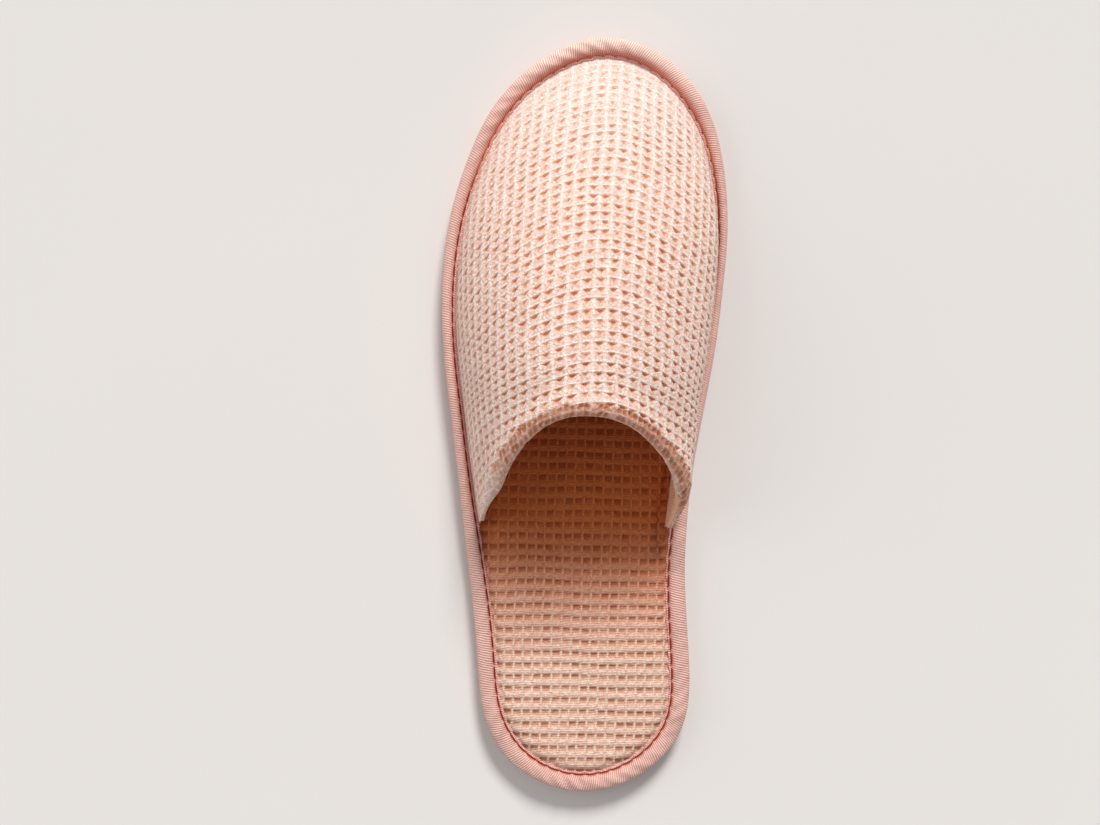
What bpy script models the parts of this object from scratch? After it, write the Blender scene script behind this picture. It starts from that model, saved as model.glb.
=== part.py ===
"""Left hotel slipper with an open back and a closed toe, bound all round with a folded tape.

Sizes below are millimetres and become metres when a mesh is made. While a piece is worked
out its points are (across, along, up): across grows towards the medial side of the foot,
along from the heel to the toe, and up from the floor. In the model these are +X, +Y and +Z,
and the origin lies on the floor under the middle of the slipper's outline.
"""

import math
from collections import namedtuple

import bmesh
import bpy
import numpy as np

MM = 0.001

# ------------------------------------------------------------------ driving sizes
LENGTH = 280.0              # heel to toe, over the binding
BALL_WIDTH = 106.0          # across the ball, over the binding
INSTEP_HEIGHT = 60.0        # floor to the crest of the upper behind its hem
TOE_SPRING = 2.5            # rise of the sole's tip above the floor
TOE_SPRING_START = 0.80     # share of the length where that rise begins
GAP = 0.3                   # between neighbouring pieces

SOLE_THICKNESS = 4.0        # foam board with its non-slip sheet
SOLE_REBATE = 1.4           # how far the sole's rim is raised to make room for the tape
INSOLE_RIM_TOP = 6.2        # top of the insole where the tape presses it down
INSOLE_TOP = 8.2            # top of the insole's padded field
WALL = 3.0                  # thickness of the upper: face fabric, foam and lining
HEM_WALL = 5.8              # thickness of the upper at its rolled hem
HEM_WIDTH = 13.0            # how far the hem's thickening reaches from the throat
HEM_REACH = 4.4             # how far the roll stands out past the throat's crest
FLANGE = 1.2                # thickness of the upper's edge where the tape presses it
EDGE_INSET = 1.5            # from the outline to the edges of the layers inside the tape
TAPE = 1.1                  # thickness of the binding tape
TAPE_END_WIDTH = 7.2        # from the outline to the tape's inner edge, on top of heel and toe
TAPE_BOTTOM_WIDTH = 7.4     # the same on the underside
TAPE_PUFF = 0.5             # how far the folded tape stands above its stitched edge

# ------------------------------------------------------------------ section tables
SoleSection = namedtuple("SoleSection", "along lateral medial lateral_tape medial_tape")
SOLE_SECTIONS = [           # shares of the length and of the ball width; tape widths on top in mm
    SoleSection(0.034, 0.251, 0.235, 7.2, 7.3),
    SoleSection(0.086, 0.348, 0.338, 7.0, 7.5),
    SoleSection(0.179, 0.392, 0.357, 6.8, 7.6),
    SoleSection(0.286, 0.428, 0.334, 6.2, 7.2),
    SoleSection(0.393, 0.469, 0.338, 4.9, 5.6),
    SoleSection(0.500, 0.511, 0.375, 4.6, 4.4),
    SoleSection(0.589, 0.543, 0.413, 4.6, 4.1),
    SoleSection(0.679, 0.552, 0.437, 4.9, 4.0),
    SoleSection(0.768, 0.526, 0.446, 5.4, 4.2),
    SoleSection(0.839, 0.472, 0.425, 5.9, 4.9),
    SoleSection(0.893, 0.410, 0.386, 6.5, 5.9),
    SoleSection(0.936, 0.328, 0.323, 6.9, 6.8),
    SoleSection(0.975, 0.204, 0.217, 7.2, 7.2),
]

VampSection = namedtuple("VampSection", "along ridge height lateral_slope medial_slope bulge")
VAMP_SECTIONS = [           # ridge across in shares of the ball width, height of the instep height
    VampSection(0.300, -0.080, 1.080, 0.64, 0.54, 4.0),
    VampSection(0.430, -0.080, 1.030, 0.64, 0.54, 5.6),
    VampSection(0.532, -0.078, 1.000, 0.66, 0.57, 3.4),
    VampSection(0.617, -0.072, 0.920, 0.67, 0.60, 3.6),
    VampSection(0.720, -0.055, 0.768, 0.70, 0.64, 3.8),
    VampSection(0.827, -0.030, 0.552, 0.76, 0.72, 1.4),
    VampSection(0.900, -0.010, 0.366, 0.85, 0.85, 0.0),
    VampSection(0.973, 0.008, 0.128, 1.00, 1.00, 0.0),
]

BULGE_LOWNESS = 0.85        # under 1 the medial wall bulges most below half its height

THROAT_END = 0.354          # share of the length where the throat meets the binding
THROAT_TOP = 0.516          # share of the length where the throat's crest lies on the ridge
THROAT_SQUARENESS = 2.3     # 2 is an ellipse in plan, more is squarer
THROAT_END_SHARE = 0.997    # how near the throat's ends come to the upper's foot line
HEM_TAPER_STEPS = 3         # steps over which the hem thins out towards the throat's ends

VAMP_STEPS = 56             # steps round the toe, from one throat end to the other
HEEL_STEPS = 36             # steps round the heel
WALL_ROWS = 11              # rows of the upper from its foot to its throat
NOSE_STEPS = 5              # steps round the edge of the hem
DENSE = 1440                # samples of the outline that shapes are read from


# ------------------------------------------------------------------ curves
def closed_spline(points, count):
    """Return count points and tangents on the smooth closed curve through the given points."""
    points = np.asarray(points, dtype=float)
    n = len(points)
    ahead = np.roll(points, -1, axis=0) - points
    step = np.linalg.norm(ahead, axis=1)
    slope = ahead / step[:, None]
    system = np.zeros((n, n))
    for i in range(n):
        system[i, i - 1] = step[i - 1]
        system[i, i] = 2 * (step[i - 1] + step[i])
        system[i, (i + 1) % n] = step[i]
    bend = np.linalg.solve(system, 6 * (slope - np.roll(slope, 1, axis=0)))
    knots = np.concatenate([[0], np.cumsum(step)])
    at = np.linspace(0, knots[-1], count, endpoint=False)
    i = np.minimum(np.searchsorted(knots, at, side="right") - 1, n - 1)
    j = (i + 1) % n
    h = step[i][:, None]
    a = (knots[i + 1] - at)[:, None]
    b = (at - knots[i])[:, None]
    curve = (bend[i] * a**3 + bend[j] * b**3) / (6 * h)
    curve += (points[i] / h - bend[i] * h / 6) * a + (points[j] / h - bend[j] * h / 6) * b
    tangent = (bend[j] * b**2 - bend[i] * a**2) / (2 * h) + (points[j] - points[i]) / h
    tangent -= (bend[j] - bend[i]) * h / 6
    return curve, tangent


def smooth_table(rows, column, along):
    """Read one column of a table at the given places, on a curve that keeps its rises and falls."""
    x = np.array([row.along for row in rows]) * LENGTH
    y = np.array([getattr(row, column) for row in rows])
    step = np.diff(x)
    rise = np.diff(y) / step
    slope = np.concatenate([[rise[0]], np.zeros(len(rise) - 1), [rise[-1]]])
    for i in range(1, len(rise)):
        if rise[i - 1] * rise[i] > 0:
            first = 2 * step[i] + step[i - 1]
            second = step[i] + 2 * step[i - 1]
            slope[i] = (first + second) / (first / rise[i - 1] + second / rise[i])
    along = np.asarray(along, dtype=float)
    i = np.clip(np.searchsorted(x, along) - 1, 0, len(step) - 1)
    t = np.clip((along - x[i]) / step[i], 0, 1)
    start = (1 + 2 * t) * (1 - t) ** 2 * y[i] + t * (1 - t) ** 2 * step[i] * slope[i]
    end = t * t * (3 - 2 * t) * y[i + 1] + t * t * (t - 1) * step[i] * slope[i + 1]
    return start + end


def smooth_step(value, low, high):
    """Rise smoothly from 0 at low to 1 at high."""
    t = np.clip((value - low) / (high - low), 0, 1)
    return t * t * (3 - 2 * t)


# ------------------------------------------------------------------ outline of the sole
def outline_knots():
    """Across, along and tape width at the heel, up the medial side, at the toe and back down."""
    medial = [(row.medial * BALL_WIDTH, row.along * LENGTH, row.medial_tape)
              for row in SOLE_SECTIONS]
    lateral = [(-row.lateral * BALL_WIDTH, row.along * LENGTH, row.lateral_tape)
               for row in SOLE_SECTIONS]
    return ([(0.0, 0.0, TAPE_END_WIDTH)] + medial
            + [(0.0, LENGTH, TAPE_END_WIDTH)] + lateral[::-1])


KNOT_CURVE, TANGENT = closed_spline(outline_knots(), DENSE)
OUTLINE = KNOT_CURVE[:, :2]
TAPE_WIDTH = KNOT_CURVE[:, 2]
INWARD = np.column_stack([-TANGENT[:, 1], TANGENT[:, 0]])
INWARD /= np.linalg.norm(INWARD, axis=1)[:, None]
CENTRE = (OUTLINE.min(axis=0) + OUTLINE.max(axis=0)) / 2


def even_samples(first, last, steps):
    """Indices into the outline, evenly spaced along it from first to last, wrapping past its end."""
    last += DENSE if last < first else 0
    walk = OUTLINE[np.arange(first, last + 1) % DENSE]
    run = np.concatenate([[0], np.cumsum(np.linalg.norm(np.diff(walk, axis=0), axis=1))])
    picked = np.searchsorted(run, np.linspace(0, run[-1], steps + 1) - 1e-9)
    return (first + picked) % DENSE


def throat_ends():
    """Indices of the outline where the throat ends, on the medial and then the lateral side."""
    miss = np.abs(OUTLINE[:, 1] - THROAT_END * LENGTH)
    medial = np.where(OUTLINE[:, 0] > 0, miss, np.inf).argmin()
    lateral = np.where(OUTLINE[:, 0] < 0, miss, np.inf).argmin()
    return int(medial), int(lateral)


MEDIAL_END, LATERAL_END = throat_ends()
VAMP_LOOP = even_samples(MEDIAL_END, LATERAL_END, VAMP_STEPS)
HEEL_LOOP = even_samples(LATERAL_END, MEDIAL_END, HEEL_STEPS)
LOOP = np.concatenate([VAMP_LOOP[:-1], HEEL_LOOP[:-1]])
STEP_ROUND_VAMP = np.arange(VAMP_STEPS + 1)


def inset(samples, distance):
    """Plan points of the outline's samples, moved inwards by a distance for all or for each."""
    distance = np.broadcast_to(distance, (len(samples),))
    return OUTLINE[samples] + INWARD[samples] * distance[:, None]


def ring(samples, distance, height):
    """Points of an inset loop at a height, which may differ from sample to sample."""
    plan = inset(samples, distance)
    return np.column_stack([plan, np.broadcast_to(height, (len(samples),))])


def under_vamp():
    """1 along the upper's part of the loop, 0 round the heel, with a short ramp between."""
    steps = np.arange(len(LOOP))
    past_end = np.minimum(steps - VAMP_STEPS, len(LOOP) - steps)
    return 1 - smooth_step(past_end, 0, 2.5)


# ------------------------------------------------------------------ form of the upper
FOOT_UP = INSOLE_RIM_TOP + GAP + FLANGE
FOOT_LINE = OUTLINE + INWARD * (TAPE_WIDTH + GAP)[:, None]
TIP = FOOT_LINE[FOOT_LINE[:, 1].argmax()]


def foot_line_at(along):
    """Where the foot line crosses the given places along, on the lateral and the medial side."""
    heel = FOOT_LINE[:, 1].argmin()
    turned = np.roll(FOOT_LINE, -heel, axis=0)
    toe = turned[:, 1].argmax()
    medial = np.interp(along, turned[:toe + 1, 1], turned[:toe + 1, 0])
    back = turned[toe:][::-1]
    lateral = np.interp(along, back[:, 1], back[:, 0])
    return lateral, medial


def vamp_surface(across, along):
    """Outer surface of the upper over plan points: arched sections that shrink towards the toe."""
    lateral, medial = foot_line_at(along)
    ridge = smooth_table(VAMP_SECTIONS, "ridge", along) * BALL_WIDTH
    ridge = np.clip(ridge, lateral, medial)
    crest = smooth_table(VAMP_SECTIONS, "height", along) * INSTEP_HEIGHT
    rise = np.maximum(crest - FOOT_UP, 0)
    is_medial = across > ridge
    half = np.where(is_medial, medial - ridge, ridge - lateral)
    slope = np.where(is_medial, smooth_table(VAMP_SECTIONS, "medial_slope", along),
                     smooth_table(VAMP_SECTIONS, "lateral_slope", along))
    share = np.clip(np.abs(across - ridge) / np.maximum(half, 1e-6), 0, 1)
    arch = (1 - share**2) ** slope
    bulge = np.where(is_medial, smooth_table(VAMP_SECTIONS, "bulge", along), 0)
    across = across + bulge * np.sin(math.pi * arch**BULGE_LOWNESS) ** 2
    return np.stack([across, along, FOOT_UP + rise * arch], axis=-1)


def throat_point(foot):
    """Plan point of the throat's crest on the straight line from its centre to a foot point."""
    centre = np.array([smooth_table(VAMP_SECTIONS, "ridge", THROAT_TOP * LENGTH) * BALL_WIDTH,
                       THROAT_END * LENGTH])
    away = foot - centre
    side = abs(away[0]) / np.hypot(*away)
    ahead = abs(away[1]) / np.hypot(*away)
    lateral, medial = foot_line_at(centre[1])
    reach = THROAT_END_SHARE * (medial - centre[0] if away[0] > 0 else centre[0] - lateral)
    depth = THROAT_TOP * LENGTH - centre[1]
    n = THROAT_SQUARENESS
    radius = ((side / reach) ** n + (ahead / depth) ** n) ** (-1 / n)
    return centre + away / np.hypot(*away) * radius


def vamp_grid():
    """Outer surface of the upper as columns round the toe, each a row of points up to the throat."""
    columns = []
    for sample in VAMP_LOOP:
        foot = FOOT_LINE[sample]
        top = throat_point(foot)
        side = "medial_slope" if foot[0] > TIP[0] else "lateral_slope"
        crowd = 1 / float(smooth_table(VAMP_SECTIONS, side, foot[1]))
        w = np.linspace(0, 1, WALL_ROWS + 1)[:, None] ** crowd
        plan = foot + (top - foot) * w
        columns.append(vamp_surface(plan[:, 0], plan[:, 1]))
    return np.array(columns)


def grid_normals(grid):
    """Unit normals of a grid of points, pointing out of the upper."""
    normal = np.cross(np.gradient(grid, axis=0), np.gradient(grid, axis=1))
    return normal / np.linalg.norm(normal, axis=2)[:, :, None]


def upper_profiles():
    """One closed profile for each column: flange, outer wall, rolled hem and inner wall."""
    outer = vamp_grid()
    normal = grid_normals(outer)
    flange_top = ring(VAMP_LOOP, EDGE_INSET, FOOT_UP)
    flange_end = ring(VAMP_LOOP, EDGE_INSET, FOOT_UP - FLANGE)
    inner_foot = ring(VAMP_LOOP, TAPE_WIDTH[VAMP_LOOP] + GAP + WALL, FOOT_UP - FLANGE)
    hem_share = smooth_step(np.minimum(STEP_ROUND_VAMP, VAMP_STEPS - STEP_ROUND_VAMP),
                            0, HEM_TAPER_STEPS)
    throat_run = np.gradient(outer[:, -1], axis=0)
    profiles = []
    for j in STEP_ROUND_VAMP:
        wall, out = outer[j], normal[j]
        to_throat = np.linalg.norm(wall - wall[-1], axis=1)
        hem = hem_share[j] * (1 - smooth_step(to_throat, 0, HEM_WIDTH))
        thick = WALL + (HEM_WALL - WALL) * hem
        inner = wall - out * thick[:, None]
        nose = hem_nose(wall, inner[-1], out[-1], throat_run[j], hem_share[j])
        profiles.append([flange_end[j], flange_top[j], *wall, *nose, *inner[:0:-1], inner_foot[j]])
    return np.array(profiles)


def hem_nose(wall, inner_top, out, throat_run, share):
    """Half an ellipse of points round the edge of the hem, from the outer to the inner wall."""
    middle = (wall[-1] + inner_top) / 2
    half = np.linalg.norm(wall[-1] - middle)
    up_wall = wall[-1] - wall[-2]
    square = np.cross(throat_run, out)
    square *= np.sign(square.dot(up_wall)) / np.linalg.norm(square)
    up_wall = up_wall - out * up_wall.dot(out)
    ahead = (1 - share) * up_wall / np.linalg.norm(up_wall) + share * square
    ahead /= np.linalg.norm(ahead)
    reach = half + (HEM_REACH - half) * share
    turns = [math.pi * k / NOSE_STEPS for k in range(1, NOSE_STEPS)]
    return [middle + out * half * math.cos(a) + ahead * reach * math.sin(a) for a in turns]


# ------------------------------------------------------------------ meshes
def toe_lift(along):
    """Rise of the sole's tip: nothing up to the ball, then a growing curve to the toe."""
    start = TOE_SPRING_START * LENGTH
    return TOE_SPRING * (max(along - start, 0) / (LENGTH - start)) ** 2


def add_point(bm, point):
    """Add one vertex at (across, along, up), moved into the model's frame."""
    across, along, up = (float(value) for value in point)
    place = (across - CENTRE[0], along - CENTRE[1], up + toe_lift(along))
    return bm.verts.new([value * MM for value in place])


def join_rows(bm, first, second):
    """Fill the strip between two rows of vertices of equal length."""
    for a, b, c, d in zip(first, first[1:], second[1:], second):
        bm.faces.new((a, b, c, d))


def close_loop(bm, loop):
    """Close a loop that runs round the slipper with strips from side to side."""
    toe = VAMP_STEPS // 2
    turned = loop[toe:] + loop[:toe]
    half = len(turned) // 2
    medial = turned[:half + 1]
    lateral = [turned[0]] + turned[:half - 1:-1]
    bm.faces.new((medial[0], medial[1], lateral[1]))
    for a, b, c, d in zip(medial[1:-2], medial[2:-1], lateral[2:-1], lateral[1:-2]):
        bm.faces.new((a, b, c, d))
    bm.faces.new((medial[-2], medial[-1], lateral[-2]))


def finish_piece(bm, name, colour, roughness):
    """Make the mesh, its object and its material, with smooth shading up to 35 degrees."""
    bmesh.ops.recalc_face_normals(bm, faces=bm.faces)
    mesh = bpy.data.meshes.new(name)
    bm.to_mesh(mesh)
    bm.free()
    mesh.shade_smooth()
    mesh.set_sharp_from_angle(angle=math.radians(35))
    piece = bpy.data.objects.new(name, mesh)
    bpy.context.collection.objects.link(piece)
    material = bpy.data.materials.new(name)
    material.use_nodes = True
    shader = material.node_tree.nodes["Principled BSDF"]
    shader.inputs["Base Color"].default_value = (*colour, 1)
    shader.inputs["Roughness"].default_value = roughness
    shader.inputs["Metallic"].default_value = 0.0
    mesh.materials.append(material)
    return piece


def stack_of_rings(bm, rings):
    """Join a pile of closed loops into one closed body, from its bottom ring to its top ring."""
    loops = [[add_point(bm, point) for point in each] for each in rings]
    for lower, upper in zip(loops, loops[1:]):
        join_rows(bm, lower + lower[:1], upper + upper[:1])
    close_loop(bm, loops[0])
    close_loop(bm, loops[-1])


# ------------------------------------------------------------------ pieces
def make_outsole():
    """Flat foam board whose rim is rebated underneath for the binding."""
    bm = bmesh.new()
    field = TAPE_BOTTOM_WIDTH + 2 * GAP
    stack_of_rings(bm, [
        ring(LOOP, field + 0.8, 0.0),
        ring(LOOP, field, SOLE_REBATE),
        ring(LOOP, EDGE_INSET, SOLE_REBATE),
        ring(LOOP, EDGE_INSET, SOLE_THICKNESS),
    ])
    return finish_piece(bm, "outsole", (0.58, 0.58, 0.64), 0.85)


def make_insole():
    """Padded insole: a thin pressed rim, and a field that swells inside the binding."""
    bm = bmesh.new()
    bottom = SOLE_THICKNESS + GAP
    rim = TAPE_WIDTH[LOOP] + 0.6 + (WALL + 0.8) * under_vamp()
    swell = INSOLE_TOP - INSOLE_RIM_TOP
    stack_of_rings(bm, [
        ring(LOOP, EDGE_INSET, bottom),
        ring(LOOP, EDGE_INSET, INSOLE_RIM_TOP),
        ring(LOOP, rim, INSOLE_RIM_TOP),
        ring(LOOP, rim + 0.8, INSOLE_RIM_TOP + 0.55 * swell),
        ring(LOOP, rim + 2.6, INSOLE_RIM_TOP + 0.88 * swell),
        ring(LOOP, rim + 7.0, INSOLE_TOP),
    ])
    return finish_piece(bm, "insole", (0.73, 0.47, 0.37), 0.95)


def make_upper():
    """One hollow shell: flange under the binding, arched wall and rolled hem at the throat."""
    bm = bmesh.new()
    profiles = [[add_point(bm, point) for point in profile] for profile in upper_profiles()]
    for one, other in zip(profiles, profiles[1:]):
        join_rows(bm, one + one[:1], other + other[:1])
    bm.faces.new(profiles[0])
    bm.faces.new(profiles[-1])
    return finish_piece(bm, "upper", (0.90, 0.66, 0.53), 0.95)


def binding_profile(lift, width):
    """Section of the folded tape as (inset, up), its top lip lifted where the upper lies under it."""
    top = INSOLE_RIM_TOP + GAP + lift
    crown = top + TAPE + TAPE_PUFF
    middle = crown / 2
    nose = [(middle * (1 - math.cos(a)) * 0.72, middle - middle * math.sin(a))
            for a in (math.radians(d) for d in (-66, -42, -20, 0, 20, 42, 66))]
    return ([(width, top), (width, top + TAPE), (width - 1.2, crown - 0.1), (width / 2, crown)]
            + nose
            + [(TAPE_BOTTOM_WIDTH * 0.6, 0.0), (TAPE_BOTTOM_WIDTH, 0.0), (TAPE_BOTTOM_WIDTH, TAPE),
               (TAPE, TAPE), (TAPE, top)])


def make_binding():
    """Folded tape round the whole edge, closed on itself."""
    bm = bmesh.new()
    lifts = under_vamp() * (FLANGE + GAP)
    shapes = np.array([binding_profile(*each) for each in zip(lifts, TAPE_WIDTH[LOOP])])
    loops = [[add_point(bm, point) for point in ring(LOOP, shapes[:, k, 0], shapes[:, k, 1])]
             for k in range(shapes.shape[1])]
    for one, other in zip(loops, loops[1:] + loops[:1]):
        join_rows(bm, one + one[:1], other + other[:1])
    return finish_piece(bm, "binding", (0.68, 0.36, 0.29), 0.80)


def clear_scene():
    """Remove every object that the file starts with."""
    for piece in list(bpy.data.objects):
        bpy.data.objects.remove(piece, do_unlink=True)


def main():
    """Make the slipper's pieces from the floor up."""
    clear_scene()
    make_outsole()
    make_insole()
    make_upper()
    make_binding()


main()
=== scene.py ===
"""Looks of a left hotel slipper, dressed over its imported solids.

Waffle cotton covers the upper and the insole, a folded tape is sewn round the edge, a smooth
lining turns over the hem, and the sole is grey felt with small grip dots.

Places are worked out in millimetres in the last's own axes, (across, along, up): across grows
towards the medial side, along runs from the heel to the toe, and up starts at the floor. They
are moved into the frame, in metres, when a mesh is made.
"""

import logging
import math
from dataclasses import dataclass
from enum import Enum, IntEnum
from typing import Any, Callable, ClassVar, NamedTuple, Sequence

import bmesh
import bpy
import numpy as np
from mathutils import Matrix, Vector
from mathutils.kdtree import KDTree


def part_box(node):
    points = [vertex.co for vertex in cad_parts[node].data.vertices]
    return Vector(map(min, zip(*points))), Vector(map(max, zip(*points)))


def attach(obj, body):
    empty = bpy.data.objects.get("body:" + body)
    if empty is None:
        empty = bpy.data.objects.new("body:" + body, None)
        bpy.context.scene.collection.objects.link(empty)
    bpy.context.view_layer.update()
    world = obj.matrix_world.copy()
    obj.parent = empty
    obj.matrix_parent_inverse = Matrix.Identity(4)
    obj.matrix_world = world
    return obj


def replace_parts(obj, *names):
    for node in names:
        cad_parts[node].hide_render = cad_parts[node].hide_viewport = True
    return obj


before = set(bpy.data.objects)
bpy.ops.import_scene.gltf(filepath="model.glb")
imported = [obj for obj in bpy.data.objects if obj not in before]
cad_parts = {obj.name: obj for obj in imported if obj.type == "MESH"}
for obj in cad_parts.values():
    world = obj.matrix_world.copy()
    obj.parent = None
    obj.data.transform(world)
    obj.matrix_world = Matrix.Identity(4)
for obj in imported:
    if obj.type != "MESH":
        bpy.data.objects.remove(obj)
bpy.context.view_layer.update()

Array = np.ndarray
Colour = tuple[float, float, float]

LOG = logging.getLogger("slipper")
MM = 0.001
BODY = "root"
NOTES = "cloth"                     # attribute in which a mesh carries numbers for its finish
TOE_LIT_AHEAD = (0.075, 0.105)          # metres ahead of the middle where the painted light round the toe sets in


class SoleSection(NamedTuple):
    """One place along the sole: shares of its length and ball width, tape widths in mm."""

    along: float
    lateral: float
    medial: float
    lateral_tape: float
    medial_tape: float


class VampSection(NamedTuple):
    """One place along the upper: ridge and height as shares, slopes as powers, bulge in mm."""

    along: float
    ridge: float
    height: float
    lateral_slope: float
    medial_slope: float
    bulge: float


SOLE_SECTIONS = (
    SoleSection(0.034, 0.251, 0.235, 7.2, 7.3),
    SoleSection(0.086, 0.348, 0.338, 7.0, 7.5),
    SoleSection(0.179, 0.392, 0.357, 6.8, 7.6),
    SoleSection(0.286, 0.428, 0.334, 6.2, 7.2),
    SoleSection(0.393, 0.469, 0.338, 4.9, 5.6),
    SoleSection(0.500, 0.511, 0.375, 4.6, 4.4),
    SoleSection(0.589, 0.543, 0.413, 4.6, 4.1),
    SoleSection(0.679, 0.552, 0.437, 4.9, 4.0),
    SoleSection(0.768, 0.526, 0.446, 5.4, 4.2),
    SoleSection(0.839, 0.472, 0.425, 5.9, 4.9),
    SoleSection(0.893, 0.410, 0.386, 6.5, 5.9),
    SoleSection(0.936, 0.328, 0.323, 6.9, 6.8),
    SoleSection(0.975, 0.204, 0.217, 7.2, 7.2),
)
TAPE_END_WIDTH = 7.2

VAMP_SECTIONS = (
    VampSection(0.300, -0.080, 1.080, 0.64, 0.54, 4.0),
    VampSection(0.430, -0.080, 1.030, 0.64, 0.54, 5.6),
    VampSection(0.532, -0.078, 1.000, 0.66, 0.57, 3.4),
    VampSection(0.617, -0.072, 0.920, 0.67, 0.60, 3.6),
    VampSection(0.720, -0.055, 0.768, 0.70, 0.64, 3.8),
    VampSection(0.827, -0.030, 0.552, 0.76, 0.72, 1.4),
    VampSection(0.900, -0.010, 0.366, 0.85, 0.85, 0.0),
    VampSection(0.973, 0.008, 0.128, 1.00, 1.00, 0.0),
)


# ---------------------------------------------------------------------------- curves
def smooth_step(value: Array, low: float, high: float) -> Array:
    """Rise smoothly from 0 at low to 1 at high, or fall if high is the lesser."""
    t = np.clip((np.asarray(value, float) - low) / (high - low), 0, 1)
    return t * t * (3 - 2 * t)


def unit(vectors: Array) -> Array:
    """Vectors of length 1 along the last axis of an array."""
    return vectors / np.linalg.norm(vectors, axis=-1, keepdims=True)


def run_of(points: Array) -> Array:
    """Distance walked along a row of points, starting at 0."""
    steps = np.linalg.norm(np.diff(points, axis=0), axis=1)
    return np.concatenate([[0.0], np.cumsum(steps)])


def read_rows(rows: Array, at: Array, places: Array) -> Array:
    """Rows read between the rising places that rows stand at."""
    return np.column_stack([np.interp(at, places, column) for column in rows.T])


def closed_spline(points: Array, count: int) -> tuple[Array, Array]:
    """Lay a smooth closed curve through points.

    Args:
        points: The points in order, in any number of coordinates.
        count: How many samples to take of the curve.

    Returns:
        The samples, and the curve's direction at each.
    """
    n = len(points)
    ahead = np.roll(points, -1, axis=0) - points
    step = np.linalg.norm(ahead, axis=1)
    slope = ahead / step[:, None]
    system = np.diag(2 * (np.roll(step, 1) + step))
    for i in range(n):
        system[i, i - 1] = step[i - 1]
        system[i, (i + 1) % n] = step[i]
    bend = np.linalg.solve(system, 6 * (slope - np.roll(slope, 1, axis=0)))
    knots = np.concatenate([[0], np.cumsum(step)])
    at = np.linspace(0, knots[-1], count, endpoint=False)
    i = np.minimum(np.searchsorted(knots, at, side="right") - 1, n - 1)
    j = (i + 1) % n
    h = step[i][:, None]
    a = (knots[i + 1] - at)[:, None]
    b = (at - knots[i])[:, None]
    curve = (bend[i] * a**3 + bend[j] * b**3) / (6 * h)
    curve += (points[i] / h - bend[i] * h / 6) * a + (points[j] / h - bend[j] * h / 6) * b
    tangent = (bend[j] * b**2 - bend[i] * a**2) / (2 * h) + (points[j] - points[i]) / h
    return curve, tangent - (bend[j] - bend[i]) * h / 6


def monotone(x: Array, y: Array, at: Array) -> Array:
    """Read a table on a curve that keeps its rises and falls.

    Args:
        x: Rising places of the table's rows.
        y: Values of the table's rows.
        at: Where to read.

    Returns:
        One value for each place.
    """
    step = np.diff(x)
    rise = np.diff(y) / step
    slope = np.concatenate([[rise[0]], np.zeros(len(rise) - 1), [rise[-1]]])
    for i in range(1, len(rise)):
        if rise[i - 1] * rise[i] > 0:
            first, second = 2 * step[i] + step[i - 1], step[i] + 2 * step[i - 1]
            slope[i] = (first + second) / (first / rise[i - 1] + second / rise[i])
    at = np.asarray(at, float)
    i = np.clip(np.searchsorted(x, at) - 1, 0, len(step) - 1)
    t = np.clip((at - x[i]) / step[i], 0, 1)
    start = (1 + 2 * t) * (1 - t) ** 2 * y[i] + t * (1 - t) ** 2 * step[i] * slope[i]
    end = t * t * (3 - 2 * t) * y[i + 1] + t * t * (t - 1) * step[i] * slope[i + 1]
    return start + end


def tree_of(points: Array) -> KDTree:
    """Put points in a tree that finds the nearest of them.

    Args:
        points: Points in two or three coordinates.

    Returns:
        The tree.
    """
    tree = KDTree(len(points))
    for number, point in enumerate(points.tolist()):
        tree.insert((*point, 0)[:3], number)
    tree.balance()
    return tree


def nearest_of(tree: KDTree, points: Array) -> tuple[Array, Array]:
    """Numbers of the tree's points that are nearest to points, and how far away they are."""
    found = [tree.find((*point, 0)[:3])[1:] for point in points.tolist()]
    return np.array([number for number, _ in found]), np.array([gap for _, gap in found])


@dataclass(frozen=True)
class Wobble:
    """Smooth unevenness: a few waves of mixed directions that repeat only far away."""

    seed: int
    wavelength: float
    waves: int = 7

    def at(self, u: Array, v: Array | float = 0.0) -> Array:
        """Read the unevenness.

        Args:
            u: First coordinates, in mm.
            v: Second coordinates, in mm.

        Returns:
            Values mostly from -1 to 1.
        """
        dice = np.random.default_rng(self.seed)
        total = np.zeros(np.broadcast(u, v).shape)
        for _ in range(self.waves):
            turn, phase = dice.uniform(0, math.tau, 2)
            length = self.wavelength * dice.uniform(0.7, 1.6)
            total += np.sin((u * math.cos(turn) + v * math.sin(turn)) * math.tau / length + phase)
        return total / math.sqrt(self.waves)


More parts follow.
